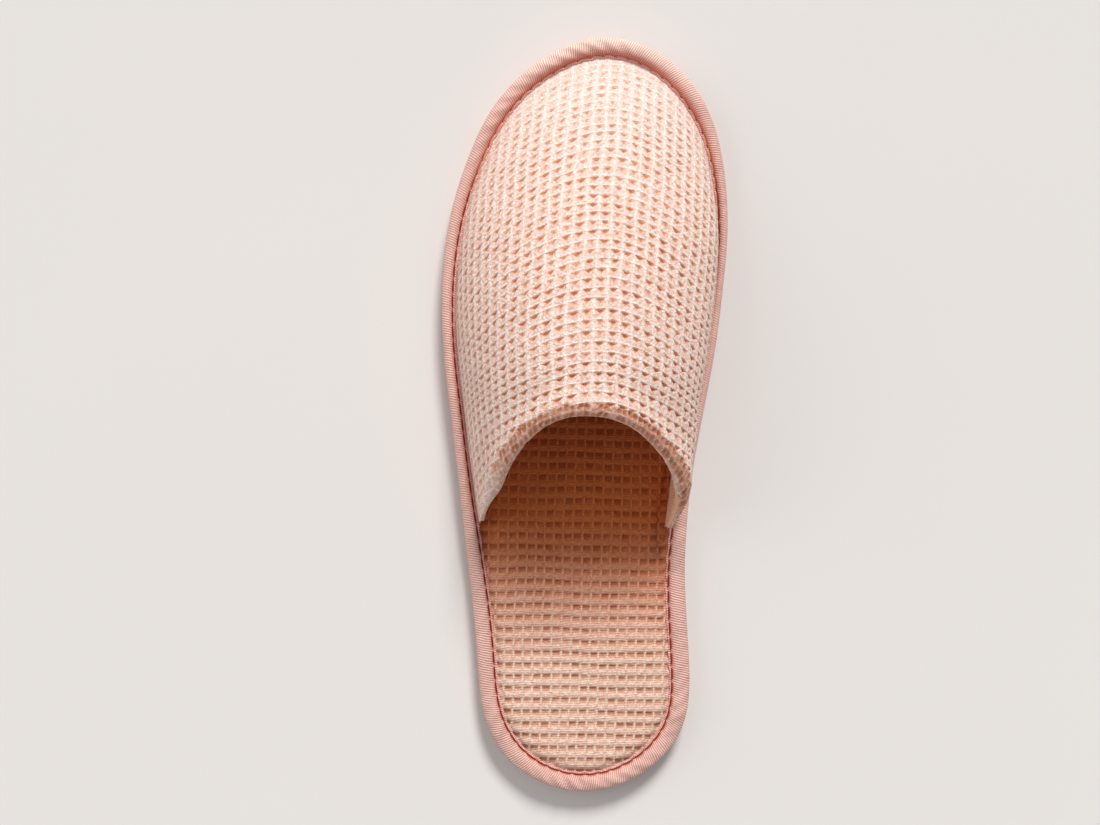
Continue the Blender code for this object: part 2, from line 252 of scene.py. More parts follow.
# ---------------------------------------------------------------------------- the last
@dataclass
class Last:
    """Form that the slipper is made on: plan outline, toe spring and the vamp's surface."""

    length: float
    ball_width: float
    crest: float                    # floor to the vamp's crest at the throat
    toe_spring: float = 2.5
    toe_spring_start: float = 0.80
    gap: float = 0.3                # from the tape's inner edge to the vamp's foot line
    foot_up: float = 7.7            # where the vamp's surface meets the tape
    throat_end: float = 0.354       # shares of the length
    throat_top: float = 0.516
    throat_squareness: float = 2.3
    throat_end_share: float = 0.997 # how much of the way to the foot line its ends go
    bulge_lowness: float = 0.85     # less than 1 puts the widest place lower on the medial wall
    samples: int = 1440

    def __post_init__(self) -> None:
        """Lay the outline and what is read from it."""
        medial = [(s.medial * self.ball_width, s.along * self.length, s.medial_tape)
                  for s in SOLE_SECTIONS]
        lateral = [(-s.lateral * self.ball_width, s.along * self.length, s.lateral_tape)
                   for s in SOLE_SECTIONS]
        knots = [(0, 0, TAPE_END_WIDTH), *medial, (0, self.length, TAPE_END_WIDTH), *lateral[::-1]]
        curve, tangent = closed_spline(np.array(knots, float), self.samples)
        self.outline: Array = curve[:, :2]
        self.tape: Array = curve[:, 2]
        self.inward: Array = unit(np.column_stack([-tangent[:, 1], tangent[:, 0]]))
        self.middle: Array = (self.outline.min(axis=0) + self.outline.max(axis=0)) / 2
        self.run: Array = run_of(np.vstack([self.outline, self.outline[:1]]))
        self.foot: Array = self.outline + self.inward * (self.tape + self.gap)[:, None]
        self.tip: Array = self.foot[self.foot[:, 1].argmax()]
        share = float(self.column("height", self.throat_top * self.length))
        self.instep: float = self.crest / share     # height that the table's shares are of
        self.nearest: KDTree = tree_of(self.outline)

    @classmethod
    def from_frame(cls) -> "Last":
        """Last whose length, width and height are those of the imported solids."""
        low, high = (Vector(corner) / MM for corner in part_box("binding"))
        return cls(length=high.y - low.y, ball_width=high.x - low.x,
                   crest=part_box("upper")[1].z / MM)

    def column(self, name: str, along: Array) -> Array:
        """One column of the vamp's table, read at places along the last."""
        places = np.array([s.along for s in VAMP_SECTIONS]) * self.length
        return monotone(places, np.array([getattr(s, name) for s in VAMP_SECTIONS]), along)

    def at_run(self, run: Array) -> tuple[Array, Array, Array]:
        """Read the outline at distances walked along it from the heel.

        Args:
            run: Distances, in mm.

        Returns:
            Points of the outline, directions square to it inwards, and tape widths.
        """
        rows = np.column_stack([self.outline, self.inward, self.tape])
        rows = read_rows(np.vstack([rows, rows[:1]]), run % self.run[-1], self.run)
        return rows[:, :2], unit(rows[:, 2:4]), rows[:, 4]

    def depth_in(self, plan: Array) -> tuple[Array, Array]:
        """How far points lie inside the outline, and its sample nearest to each of them."""
        near, _ = nearest_of(self.nearest, plan)
        return ((plan - self.outline[near]) * self.inward[near]).sum(axis=1), near

    def sides(self, along: Array) -> tuple[Array, Array]:
        """Read where the vamp's foot line crosses places along the last.

        Args:
            along: Places along the last.

        Returns:
            The across coordinates of the lateral and of the medial crossing.
        """
        turned = np.roll(self.foot, -self.foot[:, 1].argmin(), axis=0)
        toe = turned[:, 1].argmax()
        back = turned[toe:][::-1]
        return (np.interp(along, back[:, 1], back[:, 0]),
                np.interp(along, turned[:toe + 1, 1], turned[:toe + 1, 0]))

    def halves(self, along: Array) -> tuple[Array, Array, Array]:
        """Read where the vamp's ridge is and how far its feet are from it.

        Args:
            along: Places along the last.

        Returns:
            The ridge's across coordinate, and the distances to the lateral and medial foot.
        """
        lateral, medial = self.sides(along)
        ridge = np.clip(self.column("ridge", along) * self.ball_width, lateral, medial)
        return ridge, ridge - lateral, medial - ridge

    def bulge(self, along: Array, arch: Array) -> Array:
        """Sideways bulge of the medial wall, where arch runs from 0 at its foot to 1."""
        return self.column("bulge", along) * np.sin(math.pi * arch**self.bulge_lowness) ** 2

    def vamp(self, share: Array, along: Array) -> Array:
        """Read the vamp's outer surface.

        Args:
            share: Places across it: -1 at the lateral foot, 0 on the ridge, 1 at the medial foot.
            along: Places along the last.

        Returns:
            Points of the surface.
        """
        ridge, to_lateral, to_medial = self.halves(along)
        rise = np.maximum(self.column("height", along) * self.instep - self.foot_up, 0)
        half = np.where(share > 0, to_medial, to_lateral)
        slope = np.where(share > 0, self.column("medial_slope", along),
                         self.column("lateral_slope", along))
        arch = np.clip(1 - share**2, 0, 1) ** slope
        across = ridge + share * half + np.where(share > 0, self.bulge(along, arch), 0)
        return np.stack([across, along, self.foot_up + rise * arch], axis=-1)

    def share_of(self, plan: Array) -> Array:
        """Read how far across the vamp plan points are that carry no bulge yet.

        Args:
            plan: Points from above.

        Returns:
            Places from -1 at the lateral foot to 1 at the medial foot.
        """
        ridge, to_lateral, to_medial = self.halves(plan[..., 1])
        away = plan[..., 0] - ridge
        half = np.where(away > 0, to_medial, to_lateral)
        return np.clip(away / np.maximum(half, 1e-6), -1, 1)

    def bulge_at(self, points: Array) -> Array:
        """Read the sideways bulge that the medial wall has.

        Args:
            points: Points of the vamp.

        Returns:
            The bulge at each, in mm.
        """
        along = np.clip(points[..., 1], VAMP_SECTIONS[0].along * self.length, self.tip[1])
        rise = np.maximum(self.column("height", along) * self.instep - self.foot_up, 1e-6)
        return self.bulge(along, np.clip((points[..., 2] - self.foot_up) / rise, 0, 1))

    def throat_centre(self) -> Array:
        """Plan point that the throat's crest is laid round."""
        ridge = float(self.column("ridge", self.throat_top * self.length)) * self.ball_width
        return np.array([ridge, self.throat_end * self.length])

    def throat_radius(self, away: Array) -> Array:
        """Distance from the throat's centre to its crest, in plan, in the given directions.

        Args:
            away: Vectors from the centre.

        Returns:
            One distance for each vector.
        """
        centre = self.throat_centre()
        lateral, medial = self.sides(centre[1])
        long = np.linalg.norm(away, axis=-1)
        side, ahead = np.abs(away[..., 0]) / long, np.abs(away[..., 1]) / long
        reach = self.throat_end_share * np.where(away[..., 0] > 0, medial - centre[0],
                                                 centre[0] - lateral)
        depth = (self.throat_top - self.throat_end) * self.length
        n = self.throat_squareness
        return ((side / reach) ** n + (ahead / depth) ** n) ** (-1 / n)

    def throat_feet(self, count: int) -> Array:
        """Foot points under the vamp from its medial to its lateral end, evenly spaced.

        Args:
            count: How many steps to take.

        Returns:
            count + 1 plan points.
        """
        miss = np.abs(self.outline[:, 1] - self.throat_end * self.length)
        first = np.where(self.outline[:, 0] > 0, miss, np.inf).argmin()
        last = np.where(self.outline[:, 0] < 0, miss, np.inf).argmin()
        run = self.run[first:last + 1]
        return read_rows(self.foot[first:last + 1], np.linspace(run[0], run[-1], count + 1), run)

    def to_frame(self, points: Array) -> Array:
        """Move points into the frame, with the toe sprung.

        Args:
            points: Points in the last's own axes.

        Returns:
            The points in metres.
        """
        start = self.toe_spring_start * self.length
        lift = self.toe_spring * (np.maximum(points[:, 1] - start, 0) / (self.length - start)) ** 2
        shift = np.column_stack([np.full(len(points), -self.middle[0]),
                                 np.full(len(points), -self.middle[1]), lift])
        return (points + shift) * MM


# ---------------------------------------------------------------------------- mesh tools
def plan_of(verts: Sequence[bmesh.types.BMVert]) -> Array:
    """Places of vertices from above."""
    return np.array([vert.co[:2] for vert in verts])


def boundary(bm: bmesh.types.BMesh) -> list[bmesh.types.BMEdge]:
    """Open edges of a shape."""
    return [edge for edge in bm.edges if edge.is_boundary]


class Patch:
    """A flat grid of faces whose vertices are shaped and then made a piece."""

    def __init__(self, columns: int, rows: int) -> None:
        """Make the grid.

        Args:
            columns: Faces across.
            rows: Faces along.
        """
        self.bm = bmesh.new()
        bmesh.ops.create_grid(self.bm, x_segments=columns, y_segments=rows, size=1)
        flat = plan_of(self.bm.verts)
        self.column: Array = np.rint((flat[:, 0] + 1) / 2 * columns).astype(int)
        self.row: Array = np.rint((flat[:, 1] + 1) / 2 * rows).astype(int)
        layer = self.bm.verts.layers.int.new("number")
        for number, vert in enumerate(self.bm.verts):
            vert[layer] = number

    def place(self, points: Array) -> None:
        """Move the vertices to points, still in the last's axes."""
        for vert, point in zip(self.bm.verts, points.tolist()):
            vert.co = point

    def keep(self, wanted: Array) -> None:
        """Delete the vertices that aren't wanted, and any left without a face.

        Args:
            wanted: True for each vertex that stays.
        """
        dropped = [vert for vert, stays in zip(list(self.bm.verts), wanted) if not stays]
        bmesh.ops.delete(self.bm, geom=dropped, context="VERTS")
        loose = [vert for vert in self.bm.verts if not vert.link_faces]
        bmesh.ops.delete(self.bm, geom=loose, context="VERTS")

    def left(self) -> Array:
        """The numbers that the vertices had in the grid, for those that are left."""
        layer = self.bm.verts.layers.int["number"]
        return np.array([vert[layer] for vert in self.bm.verts])

    def close(self) -> None:
        """Sew edges that lie on each other, fill the open ends and turn the faces outwards."""
        bmesh.ops.remove_doubles(self.bm, verts=self.bm.verts, dist=1e-4)
        bmesh.ops.holes_fill(self.bm, edges=boundary(self.bm), sides=0)
        bmesh.ops.recalc_face_normals(self.bm, faces=self.bm.faces)


def stand(name: str, data: bpy.types.ID) -> bpy.types.Object:
    """Put an object in the scene.

    Args:
        name: Its name.
        data: Its mesh, light or camera.

    Returns:
        The object.
    """
    made = bpy.data.objects.new(name, data)
    bpy.context.scene.collection.objects.link(made)
    return made


def order_faces(bm: bmesh.types.BMesh) -> None:
    """Sort faces by their vertices, so that they have the same order on each run.

    Args:
        bm: The shape. Operators leave its faces in an order that changes from run to run.
    """
    bm.verts.index_update()
    ordered = sorted(bm.faces, key=lambda face: sorted(vert.index for vert in face.verts))
    for number, face in enumerate(ordered):
        face.index = number
    bm.faces.sort()


def finish_piece(bm: bmesh.types.BMesh, name: str, last: Last, finish: "Finish",
                 notes: Array | None = None, turn: float = 0.0) -> bpy.types.Object:
    """Make a mesh of the bmesh, move it into the frame and dress it.

    Args:
        bm: The shape in the last's axes, in mm; it is freed.
        name: The piece's name.
        last: The last that it was shaped on.
        finish: What it is made of.
        notes: Three numbers for each vertex that the finish reads.
        turn: Where the first number starts again on a closed tube of four-sided faces.

    Returns:
        The finished piece.
    """
    mesh = bpy.data.meshes.new(name)
    for layer in bm.verts.layers.int.values():
        bm.verts.layers.int.remove(layer)
    order_faces(bm)
    bm.to_mesh(mesh)
    bm.free()
    points = np.empty(len(mesh.vertices) * 3, np.float32)
    mesh.vertices.foreach_get("co", points)
    mesh.vertices.foreach_set("co", last.to_frame(points.reshape(-1, 3).astype(float)).ravel())
    if notes is not None:
        corners = np.empty(len(mesh.loops), np.int32)
        mesh.loops.foreach_get("vertex_index", corners)
        values = notes[corners]
        if turn:
            first = values[:, 0].reshape(-1, 4)
            first += turn * (first.max(axis=1, keepdims=True) - first > turn / 2)
        layer = mesh.attributes.new(NOTES, "FLOAT_VECTOR", "CORNER")
        layer.data.foreach_set("vector", values.astype(np.float32).ravel())
    mesh.shade_smooth()
    mesh.update()
    mesh.materials.append(finish.material())
    piece = stand(name, mesh)
    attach(piece, BODY)
    LOG.info("%s: %d faces", name, len(mesh.polygons))
    return piece


# ---------------------------------------------------------------------------- shader tools
class Wire:
    """An output of a shader node. Arithmetic on it adds Math nodes."""

    def __init__(self, tree: "Tree", socket: bpy.types.NodeSocket) -> None:
        """Hold a socket of a tree."""
        self.tree = tree
        self.socket = socket

    def __add__(self, other: "Wire | float") -> "Wire":
        """This and other."""
        return self.tree.math("ADD", self, other)

    def __sub__(self, other: "Wire | float") -> "Wire":
        """This less other."""
        return self.tree.math("SUBTRACT", self, other)

    def __rsub__(self, other: float) -> "Wire":
        """Other less this."""
        return self.tree.math("SUBTRACT", other, self)

    def __mul__(self, other: "Wire | float") -> "Wire":
        """This times other."""
        return self.tree.math("MULTIPLY", self, other)

    def __truediv__(self, other: "Wire | float") -> "Wire":
        """This over other."""
        return self.tree.math("DIVIDE", self, other)

    def __rtruediv__(self, other: float) -> "Wire":
        """Other over this."""
        return self.tree.math("DIVIDE", other, self)

    def __neg__(self) -> "Wire":
        """This turned round."""
        return self.tree.math("MULTIPLY", self, -1.0)

    __radd__ = __add__
    __rmul__ = __mul__

    def folded(self) -> "Wire":
        """Within each unit: 1 at whole numbers, 0 half way between them."""
        share = self.tree.math("FRACT", self)
        return self.tree.math("ABSOLUTE", share - 0.5) * 2

    def wave(self, turns: float = 1.0) -> "Wire":
        """A wave from 0 to 1 that repeats turns times for each unit."""
        return self.tree.math("SINE", self * turns * math.tau) * 0.5 + 0.5

    def ramp(self, low: float, high: float) -> "Wire":
        """Rise smoothly from 0 at low to 1 at high."""
        return self.tree.add("ShaderNodeMapRange", {"interpolation_type": "SMOOTHSTEP"},
                             {"Value": self, "From Min": low, "From Max": high})


class Tree:
    """Node tree of one material."""

    def __init__(self, name: str) -> None:
        """Make a material with a bare Principled shader."""
        self.material = bpy.data.materials.new(name)
        self.material.use_nodes = True
        self.nodes = self.material.node_tree.nodes
        self.links = self.material.node_tree.links
        self.shader = self.nodes["Principled BSDF"]

    def add(self, kind: str, settings: dict[str, Any], values: dict[Any, Any],
            output: int | str = 0) -> Wire:
        """Add a node.

        Args:
            kind: The node's type.
            settings: Its properties, set first.
            values: Values or wires for its inputs, by name or number.
            output: The output to return.

        Returns:
            One of the node's outputs.
        """
        node = self.nodes.new(kind)
        for key, value in settings.items():
            setattr(node, key, value)
        self.feed(node, values)
        return Wire(self, node.outputs[output])

    def feed(self, node: bpy.types.Node, values: dict[Any, Any]) -> None:
        """Set or link a node's inputs.

        Args:
            node: The node.
            values: Values or wires for its inputs, by name or number.
        """
        for key, value in values.items():
            if isinstance(value, Wire):
                self.links.new(value.socket, node.inputs[key])
            else:
                node.inputs[key].default_value = value

    def math(self, operation: str, *values: "Wire | float") -> Wire:
        """Result of a Math node that works on values in order."""
        return self.add("ShaderNodeMath", {"operation": operation}, dict(enumerate(values)))

    def mix(self, factor: Wire, one: "Wire | Colour", other: "Wire | Colour") -> Wire:
        """One colour where factor is 0, turning to the other where it is 1."""
        one, other = (c if isinstance(c, Wire) else (*c, 1.0) for c in (one, other))
        return self.add("ShaderNodeMix", {"data_type": "RGBA"}, {0: factor, 6: one, 7: other}, 2)

    def scaled(self, colour: "Wire | Colour", by: Wire) -> Wire:
        """A colour made lighter or darker by a factor."""
        return self.add("ShaderNodeVectorMath", {"operation": "SCALE"}, {0: colour, "Scale": by})

    def place(self) -> Wire:
        """Place on the piece, in metres."""
        return self.add("ShaderNodeTexCoord", {}, {}, "Object")

    def split(self, vector: Wire) -> tuple[Wire, ...]:
        """The three parts of a vector."""
        parts = self.add("ShaderNodeSeparateXYZ", {}, {0: vector})
        return tuple(Wire(self, output) for output in parts.socket.node.outputs)

    def along(self) -> Wire:
        """How far ahead of the slipper's middle a place is, in metres."""
        return self.split(self.place())[1]

    def cloth(self) -> tuple[Wire, ...]:
        """The three numbers that the mesh carries for its finish."""
        return self.split(self.add("ShaderNodeAttribute", {"attribute_name": NOTES}, {}, "Vector"))

    def noise(self, size: float, detail: float) -> Wire:
        """Noise round 0.5, with blotches of a size in mm and as many finer layers as detail."""
        return self.add("ShaderNodeTexNoise", {}, {"Vector": self.place(), "Detail": detail,
                                                   "Scale": 1 / (size * MM), "Roughness": 0.6})

    def loops(self, size: float) -> Wire:
        """Little yarn loops of a size in mm: 0 in a loop's middle, up to about 1 between them."""
        return self.add("ShaderNodeTexVoronoi", {}, {"Vector": self.place(),
                                                     "Scale": 1 / (size * MM)}, "Distance")


# ---------------------------------------------------------------------------- finishes
@dataclass(frozen=True)
class Finish:
    """What a piece is made of."""

    name: str
    relief: ClassVar[float]             # depth of its fine relief, in mm
    roughness: ClassVar[float]
    specular: ClassVar[float] = 0.5
    sheen: ClassVar[float] = 0.0

    def mix(self, tree: Tree) -> tuple[Wire, Wire]:
        """Colour of the finish and height of its fine relief."""
        raise NotImplementedError

    def material(self) -> bpy.types.Material:
        """Make a material of the finish.

        Returns:
            The material.
        """
        tree = Tree(self.name)
        colour, height = self.mix(tree)
        normal = tree.add("ShaderNodeBump", {}, {"Strength": 1.0, "Distance": self.relief * MM,
                                                 "Height": height}, "Normal")
        tree.feed(tree.shader, {"Base Color": colour, "Normal": normal,
                                "Roughness": self.roughness, "Sheen Weight": self.sheen,
                                "Specular IOR Level": self.specular})
        return tree.material


@dataclass(frozen=True)
class WaffleCotton(Finish):
    """Peach cotton, with painted highlights on its raised yarns and bars, painted shade down in its
    cells, and painted shade where it lies under the vamp.
    """

    relief = 0.4
    roughness = 0.95
    specular = 0.1
    raised: Colour
    blush: Colour               # between its raised loops, and painted shade in shallow hollows
    # painted shade: deeper and redder down in its cells
    sunken_shade: Colour
    shaded_raised: Colour        # painted shade: darker, redder copies of its colours where it lies deep under the vamp
    shaded_sunken: Colour
    yarns: float                # yarns from a cell's middle to its rim
    inside: tuple[float, float] = (1.0, 2.0)    # metres ahead of the middle over which that painted shade sets in: from and to
    paler_ahead: tuple[float, float] = (1.0, 2.0)  # the same for where it grows paler towards the toe
    shade_depths: tuple[float, float] = (0.3, 0.75)   # shares of its depth over which the painted shade in its cells deepens
    banded: bool = False

    def mix(self, tree: Tree) -> tuple[Wire, Wire]:
        """Mix the finish from its yarns, loops and cells.

        Args:
            tree: The material's node tree.

        Returns:
            Its colour, and the height of its fine relief.
        """
        u, v, deep = tree.cloth()
        end = v.folded()
        rim: Wire | float = tree.math("MAXIMUM", u.folded() * 0.93, end)
        if self.banded:
            yarn, rim = v.wave(self.yarns * 2), 1.0
        else:
            yarn, rim = rim.wave(self.yarns) * 0.4 + end.ramp(0.78, 1.0) * 0.6, rim.ramp(0.5, 0.95)
        fibre, fuzz, patch = tree.noise(1.1, 4), tree.noise(0.5, 2), tree.noise(9.0, 2)
        loop = tree.loops(1.15)
        between = (loop * 0.6 - fuzz * 0.5 - fibre * 0.7).ramp(-0.5, -0.1)
        # painted shade: pinker in shallow hollows, deeper and redder down in the cells
        shallow_shade = (deep + (fibre - 0.5) * 0.2).ramp(0.04, 0.3)
        down = (deep + (fibre - 0.5) * 0.5).ramp(*self.shade_depths)
        # painted shade where the cloth lies under the vamp, out of the lamp's light
        in_shade = (tree.along() + (patch - 0.5) * 0.01).ramp(*self.inside)
        # painted highlight: the raised bars between the cells are paler and lighter, most of all in
        # the painted shade under the vamp
        bar = (-deep).ramp(0.0, 0.15)
        pink = between * 0.55 + shallow_shade * 0.5 + (1 - rim) * 0.3
        pink = pink * (1 - tree.along().ramp(*self.paler_ahead) * 0.4) * (1 - bar * 0.6)
        face = tree.mix(pink, self.raised, self.blush)
        tone = tree.mix(in_shade, tree.mix(down, face, self.sunken_shade),
                        tree.mix(down, self.shaded_raised, self.shaded_sunken))
        # painted highlights on the raised yarns and rims, over the fibres' own unevenness
        light = (0.71 + fibre.ramp(0.3, 0.7) * 0.20 + fuzz.ramp(0.35, 0.65) * 0.18 - loop * 0.10
                 + yarn * 0.09 + rim * 0.10 + bar * (in_shade * 0.25 + 0.1))
        grain = 0.6 if self.banded else 1.0
        height = yarn * 0.25 + (fibre * 1.2 + fuzz * 0.6 - loop * 0.5) * grain
        return tree.scaled(tone, light), height


@dataclass(frozen=True)
class PlainCotton(Finish):
    """Smooth lining cotton with fine ribs."""

    relief = 0.25
    roughness = 0.9
    specular = 0.15
    colour: Colour
    weft: float = 0.9           # mm from rib to rib

    def mix(self, tree: Tree) -> tuple[Wire, Wire]:
        """Mix the finish from its fibres and ribs.

        Args:
            tree: The material's node tree.

        Returns:
            Its colour, and the height of its fine relief.
        """
        fibre, patch = tree.noise(0.5, 4), tree.noise(7.0, 3)
        weft = (tree.along() / (self.weft * MM) + patch * 4).wave()
        light = 0.80 + fibre * 0.22 + patch * 0.12 + weft * 0.06
        return tree.scaled(self.colour, light), fibre + patch + weft * 0.5


@dataclass(frozen=True)
class RibbedTape(Finish):
    """Dusty rose tape with fine ribs across it, a painted highlight on its outer fold at the toe
    and painted shade in its seam.
    """

    relief = 0.13
    roughness = 0.5
    colour: Colour
    fold_shade: Colour                # painted shade where it turns down into its seam and between its ribs
    # painted shade in the seam's groove
    seam: Colour
    # partly painted light: the folded edge's own rose, made redder to stand in for warm light in
    # the hump's shadow
    edge: Colour
    toe_highlight: Colour                # painted highlight on the outside of the toe
    # painted light: the seam's groove round the toe, where the lamp reaches into it
    toe_seam_lit: Colour
    rib: float                  # mm from rib to rib
    weft: float = 0.55          # mm from yarn to yarn along it
    tip: tuple[float, float] = (0.112, 0.134)   # metres ahead of the middle where that painted highlight sets in
    highlight_starts: tuple[float, float] = (3.2, 7.0)   # mm over the tape from its top edge
    highlight_ends: tuple[float, float] = (11.0, 14.0)

    def mix(self, tree: Tree) -> tuple[Wire, Wire]:
        """Mix the finish from its ribs and from the marks of its seam.

        Args:
            tree: The material's node tree.

        Returns:
            Its colour, and the height of its fine relief.
        """
        run, across, seam = tree.cloth()
        drift, fibre, patch = tree.noise(2.5, 2), tree.noise(0.35, 3), tree.noise(10.0, 3)
        rib = (run / self.rib + across * 0.30 + drift * 0.8).wave()
        weft = (across / self.weft + drift).wave()
        # painted shade in the seam's groove, paler round the toe as painted light
        deep = tree.mix(tree.along().ramp(*TOE_LIT_AHEAD), self.seam, self.toe_seam_lit)
        highlit = across.ramp(*self.highlight_starts) * (1 - across.ramp(*self.highlight_ends))
        colour = tree.mix(seam.ramp(0.0, 0.6), self.colour, self.fold_shade)
        colour = tree.mix(seam.ramp(0.5, 1.0), colour, deep)
        colour = tree.mix((-seam).ramp(0.0, 1.0), colour, self.edge)
        # painted highlight on the outer half of the toe's tape, which faces the lamp
        colour = tree.mix(tree.along().ramp(*self.tip) * highlit, colour, self.toe_highlight)
        # painted shade in the valleys between the ribs
        colour = tree.mix((1 - rib) * 0.30, colour, self.fold_shade)
        # painted highlights on the rib crests, over the tape's own unevenness
        light = 0.44 + rib * 0.46 + weft * 0.12 + fibre * 0.20 + patch * 0.30
        return tree.scaled(colour, light), rib + weft * 0.4 + fibre * 0.6 + patch * 2.2


@dataclass(frozen=True)
class SewingThread(Finish):
    """Twisted sewing thread: its dark rose is partly painted shade of its groove, and it is paler
    round the toe as painted light.
    """

    relief = 0.08
    roughness = 0.7
    specular = 0.3
    colour: Colour
    toe: Colour

    def mix(self, tree: Tree) -> tuple[Wire, Wire]:
        """Mix the finish from its two colours and its twist.

        Args:
            tree: The material's node tree.

        Returns:
            Its colour, and the height of its fine relief.
        """
        twist = tree.noise(0.3, 2)
        # painted light: paler round the toe, where the lamp reaches into the groove
        colour = tree.mix(tree.along().ramp(*TOE_LIT_AHEAD), self.colour, self.toe)
        return tree.scaled(colour, 0.8 + twist * 0.4), twist


@dataclass(frozen=True)
class Felt(Finish):
    """Short-haired grey felt, mottled."""

    relief = 0.15
    roughness = 0.95
    specular = 0.1
    sheen = 0.3
    light: Colour
    dark: Colour

    def mix(self, tree: Tree) -> tuple[Wire, Wire]:
        """Mix the finish from its hairs and blotches.

        Args:
            tree: The material's node tree.

        Returns:
            Its colour, and the height of its fine relief.
        """
        fibre, patch = tree.noise(0.45, 5), tree.noise(16.0, 4)
        pale = (fibre * 0.6 + patch * 0.4).ramp(0.3, 0.7)
        return tree.mix(pale, self.dark, self.light), fibre


@dataclass(frozen=True)
class SoftRubber(Finish):
    """Soft white rubber of the grip dots."""

    relief = 0.05
    roughness = 0.45
    colour: Colour

    def mix(self, tree: Tree) -> tuple[Wire, Wire]:
        """Its colour with a faint cloud, and the height of that."""
        cloud = tree.noise(1.2, 2)
        return tree.scaled(self.colour, 0.9 + cloud * 0.16), cloud


@dataclass(frozen=True)
class PaleBoard(Finish):
    """Matt pale surface that the slipper lies on."""

    relief = 0.01
    roughness = 0.9
    specular = 0.1
    colour: Colour

    def mix(self, tree: Tree) -> tuple[Wire, Wire]:
        """Its colour with a wide cloud, and the height of its fine grain."""
        light = 0.985 + tree.noise(160.0, 2) * 0.03
        return tree.scaled(self.colour, light), tree.noise(1.5, 3)


# ---------------------------------------------------------------------------- waffle relief
class CellForm(Enum):
    """How a waffle cell looks when the cloth is stretched or lies on padding."""

    PIT = "pit"
    BAND = "band"


@dataclass(frozen=True)
class Waffle:
    """Waffle weave: size of a cell, depth of its relief and its unevenness."""

    form: CellForm
    across: float
    along: float
    depth: float
    seed: int
    fine: tuple[int, int] = (8, 8)      # grid faces to a cell, across and along
    drift: float = 0.4                  # mm that its rows and columns wander
    repeat: tuple[int, int] = (97, 89)  # cells after which their unevenness comes again

    def wander(self, cu: Array, cv: Array) -> tuple[Array, Array]:
        """Turn cell counts into distances over the cloth, a little uneven.

        Args:
            cu: Cells across; whole numbers lie on the rims.
            cv: Cells along.

        Returns:
            Distances across and along, in mm.
        """
        u, v = cu * self.across, cv * self.along
        slow = [Wobble(self.seed + i, 34).at(u, v) for i in (0, 1)]
        quick = [Wobble(self.seed + i, 7.5).at(u, v) for i in (2, 3)]
        return (u + self.drift * (slow[0] + 0.28 * quick[0]),
                v + self.drift * (slow[1] + 0.28 * quick[1]))

    def relief(self, cu: Array, cv: Array) -> Array:
        """Depth of the cloth's face below its rims.

        Args:
            cu: Cells across.
            cv: Cells along.

        Returns:
            Depths in mm, 0 on a rim.
        """
        table = np.random.default_rng(self.seed).uniform(0.74, 1.12, self.repeat)
        columns, rows = self.repeat
        uneven = table[np.floor(cu).astype(int) % columns, np.floor(cv).astype(int) % rows]
        side, place = 0.5 - np.abs(cu % 1 - 0.5), cv % 1
        shape = self.pit if self.form is CellForm.PIT else self.band
        return self.depth * shape(side, place, uneven)

    @staticmethod
    def pit(side: Array, place: Array, uneven: Array) -> Array:
        """Shape a cell as a pit that narrows towards its near end.

        Args:
            side: Distance to the nearer side of the cell, in cells.
            place: Place along the cell, from 0 to 1.
            uneven: The cell's own share of the full depth.

        Returns:
            Depths as shares of the weave's.
        """
        half = 0.40 * np.clip((place - 0.46) / 0.42, 0, 1)
        pit = np.clip(np.minimum((1 - place) / 0.2, (side - 0.5 + half * uneven) / 0.14), 0, 1)
        cord = np.exp(-(np.minimum(place, 1 - place) / 0.08) ** 2)
        sag = smooth_step(side, 0.0, 0.3) * smooth_step(place, 0.0, 0.6)
        return 0.85 * pit * uneven + 0.06 * sag + 0.05 * (1 - cord)

    def band(self, side: Array, place: Array, uneven: Array) -> Array:
        """Shape a cell as a hollow between a band of yarns and a bar on each side.

        Args:
            side: Distance to the nearer side of the cell, in cells.
            place: Place along the cell, from 0 to 1.
            uneven: The cell's own share of the full depth.

        Returns:
            Depths as shares of the weave's, less than 0 on the bars.
        """
        floor = smooth_step(place, 0.36, 0.46) * (0.45 + 0.55 * np.clip((place - 0.4) / 0.4, 0, 1))
        floor *= 1 - smooth_step(place, 0.9, 1.0)
        bar = 1 - smooth_step(side * self.across, 0.2, 0.55)
        band = (place < 0.42) | (place > 0.96)
        yarns = 0.10 * smooth_step(np.cos(place * math.tau * 6), 0.0, 1.0) * band
        sag = 0.18 * smooth_step(side * self.across, 1.2, 0.2) * band
        return floor * uneven * (1 - bar) + yarns + sag - 0.16 * bar * (1 - band)


# ---------------------------------------------------------------------------- upper
@dataclass(frozen=True)
class HemSide:
    """How the hem's roll runs out on one side of the throat. Heights are in mm."""

    kept: float                     # share of its thickness that it keeps at its very end
    thinning: float                 # share of the throat over which it thins down to that
    clear: tuple[float, float]      # heights of the crest between which its cells come out
    swell: float = 0.0              # how much thicker it is low down
    swell_ends: tuple[float, float] = (22, 48)      # heights between which that fades

    def slimness(self, ends: Array) -> Array:
        """Share of its thickness that the roll has, by its share of the throat from an end."""
        return self.kept + (1 - self.kept) * np.sqrt(smooth_step(ends / self.thinning, 0, 1))

    def swelling(self, height: Array) -> Array:
        """How much thicker the roll is, by its crest's height."""
        return self.swell * (1 - smooth_step(height, *self.swell_ends))

    def clearness(self, height: Array) -> Array:
        """How clear the cells on the roll are, by its crest's height."""
        return smooth_step(height, *self.clear)


